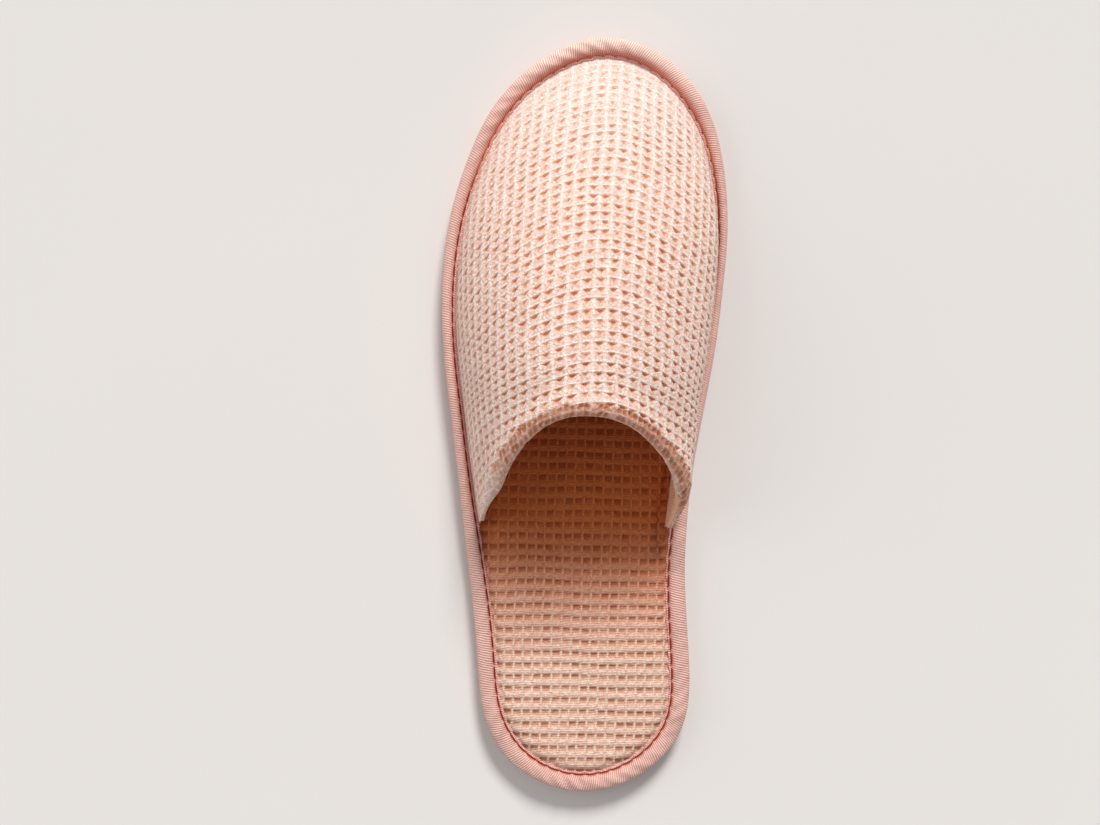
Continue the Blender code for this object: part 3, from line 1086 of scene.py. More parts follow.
class Rolls(NamedTuple):
    """The hem's roll at a row of places along the throat's crest."""

    crest: Array
    out: Array                      # square to the vamp, outwards
    ahead: Array                    # the way in which the roll stands out past the crest
    half: Array                     # half of its thickness
    reach: Array                    # how far it stands out
    cover_end: Array                # how far round it the cover goes
    shown: Array                    # how clear the cover's cells are on it

    @classmethod
    def of_rows(cls, rows: Array) -> "Rolls":
        """Rolls whose numbers stand side by side in rows."""
        return cls(rows[:, :3], rows[:, 3:6], rows[:, 6:9], *rows[:, 9:].T)


@dataclass
class Throat:
    """The hem's roll: a half ellipse carried along the crest of the throat."""

    last: Last
    columns: int = 224
    rows: int = 40
    wall: float = 3.0
    hem_wall: float = 5.8
    hem_width: float = 13.0
    hem_reach: float = 4.4
    taper: float = 3 / 56           # share of the throat over which the roll rises at each end
    turned_over: float = 8.2        # how far the cover wraps round the roll
    most_turned: float = 0.72       # share of the roll's girth that it never goes past
    medial: HemSide = HemSide(kept=0.25, thinning=0.1, clear=(9, 20), swell=3.4)
    lateral: HemSide = HemSide(kept=0.5, thinning=0.045, clear=(22, 46))

    def __post_init__(self) -> None:
        """Lay the vamp's columns and the roll on their tops."""
        self.outer, self.normal = self.lay_columns()
        crest, out = self.outer[:, -1], self.normal[:, -1]
        number = np.arange(self.columns + 1)
        ends = np.minimum(number, self.columns - number) / self.columns
        self.fullness: Array = smooth_step(ends, 0, self.taper)
        self.slimness: Array = np.where(number < self.columns / 2, self.medial.slimness(ends),
                                        self.lateral.slimness(ends))
        on_medial, height = crest[:, 0] > self.last.tip[0], crest[:, 2]
        self.swell: Array = np.where(on_medial, self.medial.swelling(height),
                                     self.lateral.swelling(height))
        shown = np.where(on_medial, self.medial.clearness(height), self.lateral.clearness(height))
        thick = self.wall + (self.hem_wall - self.wall) * self.fullness
        half = (thick + self.swell) / 2 * self.slimness
        reach = half + (self.hem_reach - half) * self.fullness
        self.girth: Array = self.girth_of(half, reach)
        cover_end = np.minimum(self.turned_over + self.swell, self.most_turned * self.girth)
        self.rolls = Rolls(crest, out, self.way_ahead(crest, out), half, reach, cover_end, shown)

    def lay_columns(self) -> tuple[Array, Array]:
        """Lay columns of places up the vamp from its foot to the throat's crest.

        Returns:
            The places, column by column, and the directions square to the vamp at them.
        """
        last = self.last
        feet = last.throat_feet(self.columns)
        away = feet - last.throat_centre()
        tops = last.throat_centre() + unit(away) * last.throat_radius(away)[:, None]
        slope = np.where(feet[:, 0] > last.tip[0], last.column("medial_slope", feet[:, 1]),
                         last.column("lateral_slope", feet[:, 1]))
        climb = np.linspace(0, 1, self.rows + 1)[None, :] ** (1 / slope[:, None])
        plan = feet[:, None] + (tops - feet)[:, None] * climb[..., None]
        outer = last.vamp(last.share_of(plan), plan[..., 1])
        return outer, unit(np.cross(np.gradient(outer, axis=0), np.gradient(outer, axis=1)))

    def way_ahead(self, crest: Array, out: Array) -> Array:
        """Find the way in which the roll stands out: on up the vamp at the throat's ends.

        Args:
            crest: The crest's points.
            out: Directions square to the vamp there.

        Returns:
            Directions past the crest.
        """
        climb = crest - self.outer[:, -2]
        climb = unit(climb - out * (climb * out).sum(1)[:, None])
        square = unit(np.cross(np.gradient(crest, axis=0), out))
        square *= np.sign((square * climb).sum(1))[:, None]
        full = self.fullness[:, None]
        return unit((1 - full) * climb + full * square)

    @staticmethod
    def girth_of(half: Array, reach: Array) -> Array:
        """Distance round half of an ellipse, from the crest to the inner wall."""
        return math.pi * np.sqrt((half**2 + reach**2) / 2)

    def walk(self, rolls: Rolls, walked: Array) -> tuple[Array, Array]:
        """Walk from the crest round the roll.

        Args:
            rolls: Where the walks start.
            walked: Distances walked, in mm.

        Returns:
            Points on the roll, and the directions out of it there.
        """
        turns = np.linspace(0, math.pi, 61)
        steps = np.sqrt((self.hem_wall / 2 * np.sin(turns)) ** 2
                        + (self.hem_reach * np.cos(turns)) ** 2)
        walk = np.concatenate([[0], np.cumsum((steps[1:] + steps[:-1]) / 2 * turns[1])])
        half, reach = rolls.half[:, None], rolls.reach[:, None]
        share = walked / self.girth_of(rolls.half, rolls.reach)
        turn = np.interp(share * walk[-1], walk, turns)[:, None]
        points = (rolls.crest - rolls.out * half + rolls.out * (half * np.cos(turn))
                  + rolls.ahead * (reach * np.sin(turn)))
        ways = unit(rolls.out * (np.cos(turn) / half) + rolls.ahead * (np.sin(turn) / reach))
        return points, ways

    def thickness(self) -> Array:
        """Thickness of the upper's wall at each of the columns' places.

        Returns:
            Thicknesses in mm, greatest at the crest.
        """
        gap = np.linalg.norm(self.outer - self.rolls.crest[:, None], axis=2)
        rolled = 1 - smooth_step(gap, 0, self.hem_width)
        thick = self.wall + (self.hem_wall - self.wall) * (self.fullness[:, None] * rolled)
        return (thick + self.swell[:, None] * rolled) * self.slimness[:, None]


@dataclass
class ClothMap:
    """Flat cloth laid over the vamp, by way of a table of the vamp's surface.

    The table's rows are distances along the ridge from the throat's crest, close together
    near the toe, and its columns are distances over the surface from the ridge.
    """

    last: Last
    tucked_under: float             # how far the cloth goes under the tape
    first: float = 0.305            # share of the length where the ridge starts
    least: float = 0.302            # and that no cut across it goes behind
    step: float = 0.5               # from row to row, and from column to column
    half_width: float = 80.0
    toe: float = 6.0                # mm before the tip where the rows draw together
    toe_rows: int = 90
    samples: int = 900              # along the ridge
    smoothing: int = 30             # samples on each side that the ridge's fall is smoothed over
    spots: int = 241                # across each cut
    rounds: int = 16                # of moving a cut's places until it lies square to the ridge
    rim_step: float = 0.12          # from spot to spot along the foot line

    def __post_init__(self) -> None:
        """Measure the vamp and lay its foot line out on the flat cloth."""
        self.rows, points = self.cut_across()
        steps = np.linalg.norm(np.diff(points, axis=1), axis=2)
        over = np.concatenate([np.zeros((len(points), 1)), np.cumsum(steps, axis=1)], axis=1)
        middle = over.shape[1] // 2
        over -= over[:, middle:middle + 1]
        self.columns: Array = np.arange(-self.half_width, self.half_width + 0.1, self.step)
        self.table: Array = np.stack([read_rows(cut, self.columns, walked)
                                      for cut, walked in zip(points, over)])
        self.edges: Array = over[:, [0, -1]]
        rim = np.concatenate([np.column_stack([over[:, 0], self.rows]),
                              np.column_stack([over[:, -1], self.rows])[::-1]])
        feet = np.concatenate([points[:, 0], points[::-1, -1]])
        walk = run_of(feet)
        even = np.linspace(0, walk[-1], int(walk[-1] / self.rim_step))
        self.rim, self.rim_feet = read_rows(rim, even, walk), read_rows(feet, even, walk)

    def cut_across(self) -> tuple[Array, Array]:
        """Cut the vamp square to its ridge.

        Returns:
            Each cut's distance along the ridge from the throat's crest, and points across it
            from its lateral to its medial foot.
        """
        last = self.last
        along = np.linspace(last.length * self.first, last.tip[1], self.samples)
        ridge = last.vamp(np.zeros_like(along), along)
        walked = run_of(ridge)
        walked -= np.interp(last.throat_top * last.length, along, walked)
        fall = np.pad(-np.gradient(ridge[:, 2], along), self.smoothing, mode="edge")
        window = 2 * self.smoothing + 1
        fall = np.convolve(fall, np.ones(window) / window, mode="valid")
        tip = walked[-1]
        rows = np.concatenate([np.arange(walked[0], tip - self.toe, self.step),
                               tip - self.toe * np.geomspace(1, 0.001, self.toe_rows)])
        start = np.interp(rows, walked, along)[:, None]
        lean = np.interp(start, along, fall)
        share = np.sin(np.linspace(-1, 1, self.spots) * math.pi / 2)[None, :]
        share = np.repeat(share, len(start), axis=0)
        height = last.vamp(np.zeros_like(start), start)[..., 2]
        at = np.repeat(start, share.shape[1], axis=1)
        for _ in range(self.rounds):
            up = last.vamp(share, at)[..., 2]
            at = np.clip(start + lean * (up - height), last.length * self.least, last.tip[1])
        return rows, last.vamp(share, at)

    def lay(self, u: Array, w: Array) -> tuple[Array, Array]:
        """Lay a flat cloth over the vamp and under the tape.

        Args:
            u: Distances from the ridge, measured over the surface.
            w: Distances along the ridge from the throat's crest.

        Returns:
            A point for each place on the cloth, and how far each lies past the foot line.
        """
        count, table = len(self.rows), self.table
        i = np.clip(np.interp(w, self.rows, np.arange(count)), 0, count - 1.001)
        j = np.clip((u - self.columns[0]) / self.step, 0, len(self.columns) - 1.001)
        i0, j0 = i.astype(int), j.astype(int)
        fi, fj = (i - i0)[..., None], (j - j0)[..., None]
        laid = ((table[i0, j0] * (1 - fj) + table[i0, j0 + 1] * fj) * (1 - fi)
                + (table[i0 + 1, j0] * (1 - fj) + table[i0 + 1, j0 + 1] * fj) * fi)
        lateral, medial = (np.interp(w, self.rows, edge) for edge in self.edges.T)
        outside = (u < lateral) | (u > medial) | (w > self.rows[-1])
        near, gap = nearest_of(tree_of(self.rim), np.column_stack([u[outside], w[outside]]))
        past_foot = np.zeros(u.shape)
        past_foot[outside] = gap
        under = self.rim_feet[near]
        _, sample = self.last.depth_in(under[:, :2])
        under[:, :2] -= self.last.inward[sample] * np.minimum(gap, self.tucked_under)[:, None]
        laid[outside] = under
        return laid, past_foot


class Laid(NamedTuple):
    """Grid of cloth laid over the upper: what is known of each of its places."""

    points: Array
    past_foot: Array                # how far it lies past the foot line
    past: Array                     # how far past the throat's crest, less than 0 ahead of it
    end: Array                      # how far past the crest the cover ends there
    shown: Array                    # how clear the cells are on the roll there


@dataclass
class Upper:
    """Closed-toe upper: waffle cotton outside, smooth lining inside, rolled hem at the throat."""

    last: Last
    cotton: Finish
    lining: Finish
    weave: Waffle = Waffle(CellForm.PIT, 4.6, 3.72, 1.15, 11)
    tucked_under: float = 1.3       # how far the cover goes under the tape
    bed: float = 1.6                # depth of the layer that it lies on, below its rims
    sweep: float = 0.35             # how steeply the cloth's rows drop heelwards down the sides
    sweep_start: float = 14.0       # mm from the middle over which they begin to
    sweep_middle: float = 4.0       # where the rows are highest, medially of the ridge
    half_cells: int = 18            # cells of cloth on each side of the ridge
    cells_behind: int = 8           # and behind the throat's crest
    toe: tuple[float, float] = (0.80, 0.93)     # shares of the length where the cells flatten
    hem_zone: float = 26.0          # mm ahead of the throat's crest that count as near the hem
    hem_row: float = 2.9            # mm from row to row of the small cells on the hem
    hem_depth: float = 0.7          # share of the weave's depth that they have
    hem_rise: float = 0.5           # how far the cloth swells on the hem
    hem_dip: float = 0.45           # and sinks ahead of it
    sunk_end: float = 1.0           # how far the cover's end is pulled down into the lining
    roll_rings: int = 30            # rings of the lining round the hem's roll

    def build(self) -> list[bpy.types.Object]:
        """Make the upper's pieces.

        Returns:
            The cover and the lining.
        """
        throat = Throat(self.last)
        lining = self.make_lining(throat)
        cover, flat_size, flat_area = self.make_cover(throat)
        return [cover, lining]

    def make_cover(self, throat: Throat
                   ) -> tuple[bpy.types.Object, tuple[float, float], float]:
        """Make the waffle cotton that covers the upper.

        Args:
            throat: The hem's roll.

        Returns:
            The cover, and its width, length and area before it was hung, in metres.
        """
        weave, (fine_u, fine_v) = self.weave, self.weave.fine
        cloth = ClothMap(self.last, self.tucked_under)
        columns = np.arange(-self.half_cells * fine_u, self.half_cells * fine_u + 1) / fine_u
        rows = np.arange(-self.cells_behind * fine_v,
                         int((cloth.rows[-1] + 2) / weave.along * fine_v) + 2) / fine_v
        cu, cv = np.meshgrid(columns, rows)
        u, v = weave.wander(cu, cv)
        spread = np.abs(u - self.sweep_middle) / self.sweep_start
        drop = self.sweep * self.sweep_start * (spread + np.log1p(np.exp(-2 * spread))
                                                - math.log(2))
        laid = self.wrap(throat, *cloth.lay(u, v - drop))
        face, marks = self.emboss(laid, cu, cv)
        wanted = (laid.past_foot < self.tucked_under + 0.3) & (laid.past < laid.end + 0.35)
        patch = Patch(len(columns) - 1, len(rows) - 1)
        spots = patch.row, patch.column
        patch.place(face[spots])
        patch.keep(wanted[spots])
        notes = np.stack([cu, cv, marks], axis=-1)[spots][patch.left()]
        flat_size = (float(np.ptp(notes[:, 0])) * weave.across * MM,
                     float(np.ptp(notes[:, 1])) * weave.along * MM)
        cell = weave.across * weave.along / (fine_u * fine_v)
        flat_area = len(patch.bm.faces) * cell * MM * MM
        piece = finish_piece(patch.bm, "upper_cover", self.last, self.cotton, notes)
        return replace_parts(piece, "upper"), flat_size, flat_area

    def wrap(self, throat: Throat, points: Array, past_foot: Array) -> Laid:
        """Wrap what lies past the throat's crest round the roll.

        Args:
            throat: The hem's roll.
            points: Points of the cloth.
            past_foot: How far each lies past the foot line.

        Returns:
            The cloth as it then lies.
        """
        last = self.last
        centre = last.throat_centre()
        away = points[..., :2] - centre
        away[..., 0] -= np.where(away[..., 0] > 0, last.bulge_at(points), 0)
        gap, radius = np.linalg.norm(away, axis=-1), last.throat_radius(away)
        beyond = (gap < radius) | (points[..., 1] < centre[1])
        close = beyond | (gap < radius + self.hem_zone)
        rows = np.column_stack(throat.rolls)
        rows = np.vstack([rows[:1], rows, rows[-1:]])
        rows[[0, -1], 2] -= 3       # the crest's ends are led on down under the tape
        walk = run_of(rows[:, :3])
        rows = read_rows(rows, np.linspace(0, walk[-1], int(walk[-1] / 0.1)), walk)
        near, walked = nearest_of(tree_of(rows[:, :3]), points[close])
        rolls, moved = Rolls.of_rows(rows[near]), beyond[close]
        past, end = np.full(past_foot.shape, -99.0), np.full(past_foot.shape, 99.0)
        shown = np.ones(past_foot.shape)
        past[close] = np.where(moved, walked, -walked)
        end[close], shown[close] = rolls.cover_end, rolls.shown
        points[beyond], _ = throat.walk(Rolls.of_rows(rows[near[moved]]),
                                        np.minimum(walked, rolls.cover_end)[moved])
        return Laid(points, past_foot, past, end, shown)

    def emboss(self, laid: Laid, cu: Array, cv: Array) -> tuple[Array, Array]:
        """Press the cells into the cloth.

        Args:
            laid: The cloth.
            cu: Cells across.
            cv: Cells along.

        Returns:
            Points of its face, and the depth that its finish reads at each.
        """
        last, weave, points, past = self.last, self.weave, laid.points, laid.past
        square = np.cross(np.gradient(points, axis=1), np.gradient(points, axis=0))
        at_toe = smooth_step(points[..., 1], *(share * last.length for share in self.toe))
        clear = self.clearness(laid, at_toe)
        hem, hem_cells = self.emboss_hem(cu, cv, past)
        deep = weave.relief(cu, cv) * (1 - hem) + hem_cells * hem
        deep *= clear * (1 - 0.3 * at_toe)
        sink = self.sunk_end * smooth_step(past, laid.end - 0.8, laid.end)
        swell = (self.hem_rise * np.exp(-((past + 0.3) / 2.2) ** 2)
                 - self.hem_dip * np.exp(-((past + 8) / 4.5) ** 2))
        swell *= smooth_step(points[..., 2], 12, 26)    # not low down, at the throat's ends
        face = points - unit(square + 1e-12) * (deep + sink - swell)[..., None]
        # the finish paints shade on the hem's cells, as though they were deeper than they are, and
        # paints its plain ends paler
        plain = (1 - laid.shown) * smooth_step(past, -1.0, 1.0)
        return face, deep / weave.depth + 0.36 * hem * clear - 0.06 * plain

    def clearness(self, laid: Laid, at_toe: Array) -> Array:
        """Find how clear the cells are: less by the tape, at the throat's ends and at the toe.

        Args:
            laid: The cloth.
            at_toe: From 0 to 1 where the cloth nears the toe.

        Returns:
            Shares of the cells' depth.
        """
        last, past, height = self.last, laid.past, laid.points[..., 2]
        inside, near = last.depth_in(laid.points[..., :2].reshape(-1, 2))
        margin = (inside - last.tape[near] - last.gap).reshape(height.shape)
        margin = np.hypot(np.maximum(margin, 0), np.maximum(height - last.foot_up, 0))
        away = smooth_step(margin, 0.2, 1.6 + 8 * at_toe)
        clear = 0.1 + 0.3 * at_toe + (0.9 - 0.3 * at_toe) * away
        clear *= smooth_step(margin, 0.0, 0.9)
        clear *= 1 - smooth_step(past, laid.end - 1.6, laid.end)
        clear *= smooth_step(height, 9, 15) + smooth_step(past, -4, -12)
        return np.clip(clear, 0, 1) * (1 - (1 - laid.shown) * smooth_step(past, -2.5, 1.0))

    def emboss_hem(self, cu: Array, cv: Array, past: Array) -> tuple[Array, Array]:
        """Shape the two rows of small cells on the hem, two to a cell of the weave.

        Args:
            cu: Cells of the weave across.
            cv: Cells of the weave along.
            past: How far each place lies past the throat's crest.

        Returns:
            Where those rows take the place of the weave, from 0 to 1, and their depth in mm.
        """
        u, v = self.weave.wander(cu, cv)
        uneven = Wobble(self.weave.seed + 4, 7).at(u, v)
        band = past + 0.35 * uneven
        hem = smooth_step(band, 0.1, 0.8) * (1 - smooth_step(band, 5.4, 6.6))
        side = 0.5 - np.abs(cu * 2 % 1 - 0.5) + 0.09 * Wobble(self.weave.seed + 5, 3).at(u, v)
        rows = np.abs(np.sin(np.clip((band - 0.1) / self.hem_row, 0, 2) * math.pi))
        cells = smooth_step(side, 0.06, 0.3) * (rows * (0.75 + 0.45 * uneven))
        return hem, self.hem_depth * self.weave.depth * cells

    def make_lining(self, throat: Throat) -> bpy.types.Object:
        """Make the foam and lining under the cover, closed all round.

        Args:
            throat: The hem's roll.

        Returns:
            The lining.
        """
        rolls = throat.rolls
        bed = throat.outer - throat.normal * self.bed
        bed[:, 0, 2] = self.last.foot_up - 1.1
        rings = [bed[:, row] for row in range(throat.rows + 1)]
        for share in np.linspace(0.04, 1.0, self.roll_rings):
            walked = throat.girth * share
            bare = smooth_step(walked - rolls.cover_end, -0.7, 0.2)
            under = self.bed * (1 - bare) + 0.08
            ring, way = throat.walk(rolls, walked)
            rings.append(ring - way * under[:, None])
        inner = throat.outer - throat.normal * throat.thickness()[..., None]
        rings += [inner[:, row] for row in range(throat.rows - 1, -1, -2)]
        foot = inner[:, 0].copy()
        foot[:, 2] = self.last.foot_up - 1.2
        points = np.stack([*rings, foot], axis=1)
        patch = Patch(points.shape[0] - 1, points.shape[1])
        patch.place(points[patch.column, patch.row % points.shape[1]])
        patch.close()
        return finish_piece(patch.bm, "upper_lining", self.last, self.lining)


# ---------------------------------------------------------------------------- slabs
@dataclass
class Slab:
    """Flat layer of the sole: a fine face cut to the outline, a rim and a plain back."""

    last: Last
    cut: float                              # inset of the face's edge from the outline
    step: tuple[float, float]               # size of the face's grid
    lay: Callable[[Array, Array], tuple[Array, Array]]      # steps across and along to mm
    back: tuple[tuple[float, float], ...]   # insets and heights of the rim's rings, in order
    height: Callable[[Array, Array, Array], Array]      # of plan, inset and nearest sample
    strip: float = 8.0                      # width of the strips that the back is cut into

    def make(self) -> tuple[bmesh.types.BMesh, Array]:
        """Make the layer.

        Returns:
            The shape in the last's axes, and each vertex's place in steps of the grid.
        """
        step = np.array(self.step)
        first = np.floor(self.last.outline.min(axis=0) / step).astype(int) - 2
        counts = np.ceil(self.last.outline.max(axis=0) / step).astype(int) + 2 - first
        patch = Patch(int(counts[0]), int(counts[1]))
        places = np.column_stack([patch.column, patch.row]) + first
        plan = np.column_stack(self.lay(places[:, 0], places[:, 1]))
        inside, _ = self.last.depth_in(plan)
        patch.keep(inside > self.cut + 0.02)
        patch.place(np.pad(plan[patch.left()], ((0, 0), (0, 1))))
        bm = patch.bm
        edge = [vert for vert in bm.verts if vert.is_boundary]
        self.move(edge, self.cut, 0.0)
        bmesh.ops.remove_doubles(bm, verts=edge, dist=min(self.step) * 0.35)
        plan = plan_of(bm.verts)
        heights = self.height(plan, *self.last.depth_in(plan))
        patch.place(np.column_stack([plan, heights]))
        for inset, up in self.back:
            made = bmesh.ops.extrude_edge_only(bm, edges=boundary(bm))["geom"]
            self.move([item for item in made if isinstance(item, bmesh.types.BMVert)], inset, up)
        self.slice_back(bm, bmesh.ops.contextual_create(bm, geom=boundary(bm))["faces"])
        bmesh.ops.recalc_face_normals(bm, faces=bm.faces)
        return bm, places[patch.left()]

    def move(self, verts: list[bmesh.types.BMVert], inset: float, up: float) -> None:
        """Set vertices on a ring inside the outline.

        Args:
            verts: The vertices.
            inset: The ring's distance from the outline.
            up: Its height.
        """
        plan = plan_of(verts)
        _, near = self.last.depth_in(plan)
        spot, way = self.last.outline[near], self.last.inward[near]
        along = np.column_stack([-way[:, 1], way[:, 0]])
        slip = ((plan - spot) * along).sum(axis=1)
        ring = spot + way * inset + along * slip[:, None]
        for vert, (x, y) in zip(verts, ring.tolist()):
            vert.co = (x, y, up)

    def slice_back(self, bm: bmesh.types.BMesh, faces: list[bmesh.types.BMFace]) -> None:
        """Cut the plain back into strips across, so that it can follow the toe spring.

        Args:
            bm: The shape.
            faces: The back's faces.
        """
        for at in np.arange(self.strip, self.last.length - 3, self.strip):
            edges = dict.fromkeys(edge for face in faces for edge in face.edges)
            cut = bmesh.ops.bisect_plane(bm, geom=[*faces, *edges], dist=1e-5,
                                         plane_co=(0, at, 0), plane_no=(0, 1, 0))
            faces = [item for item in cut["geom"] if isinstance(item, bmesh.types.BMFace)]


@dataclass
class Insole:
    """Padded insole in waffle cotton, pressed down under the tape and swelling inside it.

    Its edge is cut in from the outline, and its bottom, rim and top are heights.
    """

    last: Last
    cotton: Finish
    weave: Waffle = Waffle(CellForm.BAND, 3.52, 4.38, 0.8, 31, drift=0.28)
    cut: float = 1.5
    bottom: float = 4.3
    rim_top: float = 6.2
    top: float = 8.2
    under_wall: float = 3.8     # how much further in it swells where the upper stands on it

    def swell(self, plan: Array, inside: Array, near: Array) -> Array:
        """Height of the padding before its weave.

        Args:
            plan: Places from above.
            inside: Distances in from the outline.
            near: Nearest outline samples.

        Returns:
            Heights in mm.
        """
        start = self.last.throat_end * self.last.length
        covered = smooth_step(plan[:, 1], start - 20, start)
        rim = self.last.tape[near] + 0.6 + self.under_wall * covered
        risen = np.clip(inside - rim, 0, None)
        return self.rim_top + (self.top - self.rim_top) * (1 - np.exp(-risen / 1.3))

    def build(self) -> list[bpy.types.Object]:
        """Make the insole.

        Returns:
            The insole alone.
        """
        fine, weave = self.weave.fine, self.weave
        step = (weave.across / fine[0], weave.along / fine[1])
        slab = Slab(self.last, self.cut, step, lambda i, j: weave.wander(i / fine[0], j / fine[1]),
                    ((self.cut, self.bottom),), self.swell)
        bm, places = slab.make()
        cu, cv = (places / fine).T
        inside, near = self.last.depth_in(plan_of(bm.verts))
        deep = weave.relief(cu, cv) * smooth_step(inside - self.last.tape[near], -0.6, 0.6)
        for vert, down in zip(bm.verts, deep.tolist()):
            if vert.co.z > self.rim_top - 0.1:
                vert.co.z -= down
        marks = deep / weave.depth
        # the finish paints highlights on these bars
        marks[marks < 0] *= 4       # the bars between the cells, so that the finish sees them
        notes = np.column_stack([cu, cv, marks])
        piece = finish_piece(bm, "insole_pad", self.last, self.cotton, notes)
        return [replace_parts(piece, "insole")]


@dataclass
class Outsole:
    """Foam board faced with felt, and the grip dots on it.

    The felt is cut in from the outline. Beside it the board is rebated for the tape, out to
    its rim. The face, the rebate and the top are heights.
    """

    last: Last
    felt: Finish
    rubber: Finish
    cut: float = 7.9
    face: float = 0.45
    rebate: float = 1.4
    rim: float = 1.5
    top: float = 4.0
    grid: float = 1.6           # size of the felt's faces
    pulled_up: float = 0.5      # how far the felt rises beside its seam
    dot_pitch: float = 7.7
    dot_row: float = 4.0
    dot_size: float = 1.8
    dot_height: float = 0.45
    dot_margin: float = 1.6     # from the felt's edge

    def swell(self, plan: Array, inside: Array, near: Array) -> Array:
        """Height of the felt: level inside, and pulled up a little beside its seam.

        Args:
            plan: Places from above.
            inside: Distances in from the outline.
            near: Nearest outline samples; not used.

        Returns:
            Heights in mm.
        """
        pulled = 1 - smooth_step(inside, self.cut, self.cut + 2.5)
        uneven = 0.03 * Wobble(5, 14).at(plan[:, 0], plan[:, 1])
        return self.face + self.pulled_up * pulled + uneven

    def build(self) -> list[bpy.types.Object]:
        """Make the outsole.

        Returns:
            The felt and the dots.
        """
        rings = ((self.cut - 0.2, self.rebate), (self.rim, self.rebate), (self.rim, self.top))
        bm, _ = Slab(self.last, self.cut, (self.grid, self.grid),
                     lambda i, j: (i * self.grid, j * self.grid), rings, self.swell).make()
        felt = finish_piece(bm, "sole_felt", self.last, self.felt)
        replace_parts(felt, "outsole")
        return [felt, self.make_dots()]

    def make_dots(self) -> bpy.types.Object:
        """Make the grip dots in one mesh.

        Returns:
            The dots.
        """
        row, number = np.mgrid[2:int(self.last.length / self.dot_row), -9:9]
        across = row % 2 * self.dot_pitch / 2 + self.dot_pitch * number
        plan = np.column_stack([across.ravel(), (row * self.dot_row).ravel()])
        inside, _ = self.last.depth_in(plan)
        half = self.dot_size / 2
        size = Matrix.Diagonal((half, half, self.dot_height, 1))
        bm = bmesh.new()
        for x, y in plan[inside > self.cut + self.dot_margin].tolist():
            bmesh.ops.create_icosphere(bm, subdivisions=1, radius=1,
                                       matrix=Matrix.Translation((x, y, self.face)) @ size)
        return finish_piece(bm, "sole_dots", self.last, self.rubber)


# ---------------------------------------------------------------------------- binding
class TapeRow(IntEnum):
    """Rows of the tape's section at which its parts start."""

    EDGE = 1
    SEAM = 5
    HUMP = 6
    SIDE = 18
    HIDDEN = 34


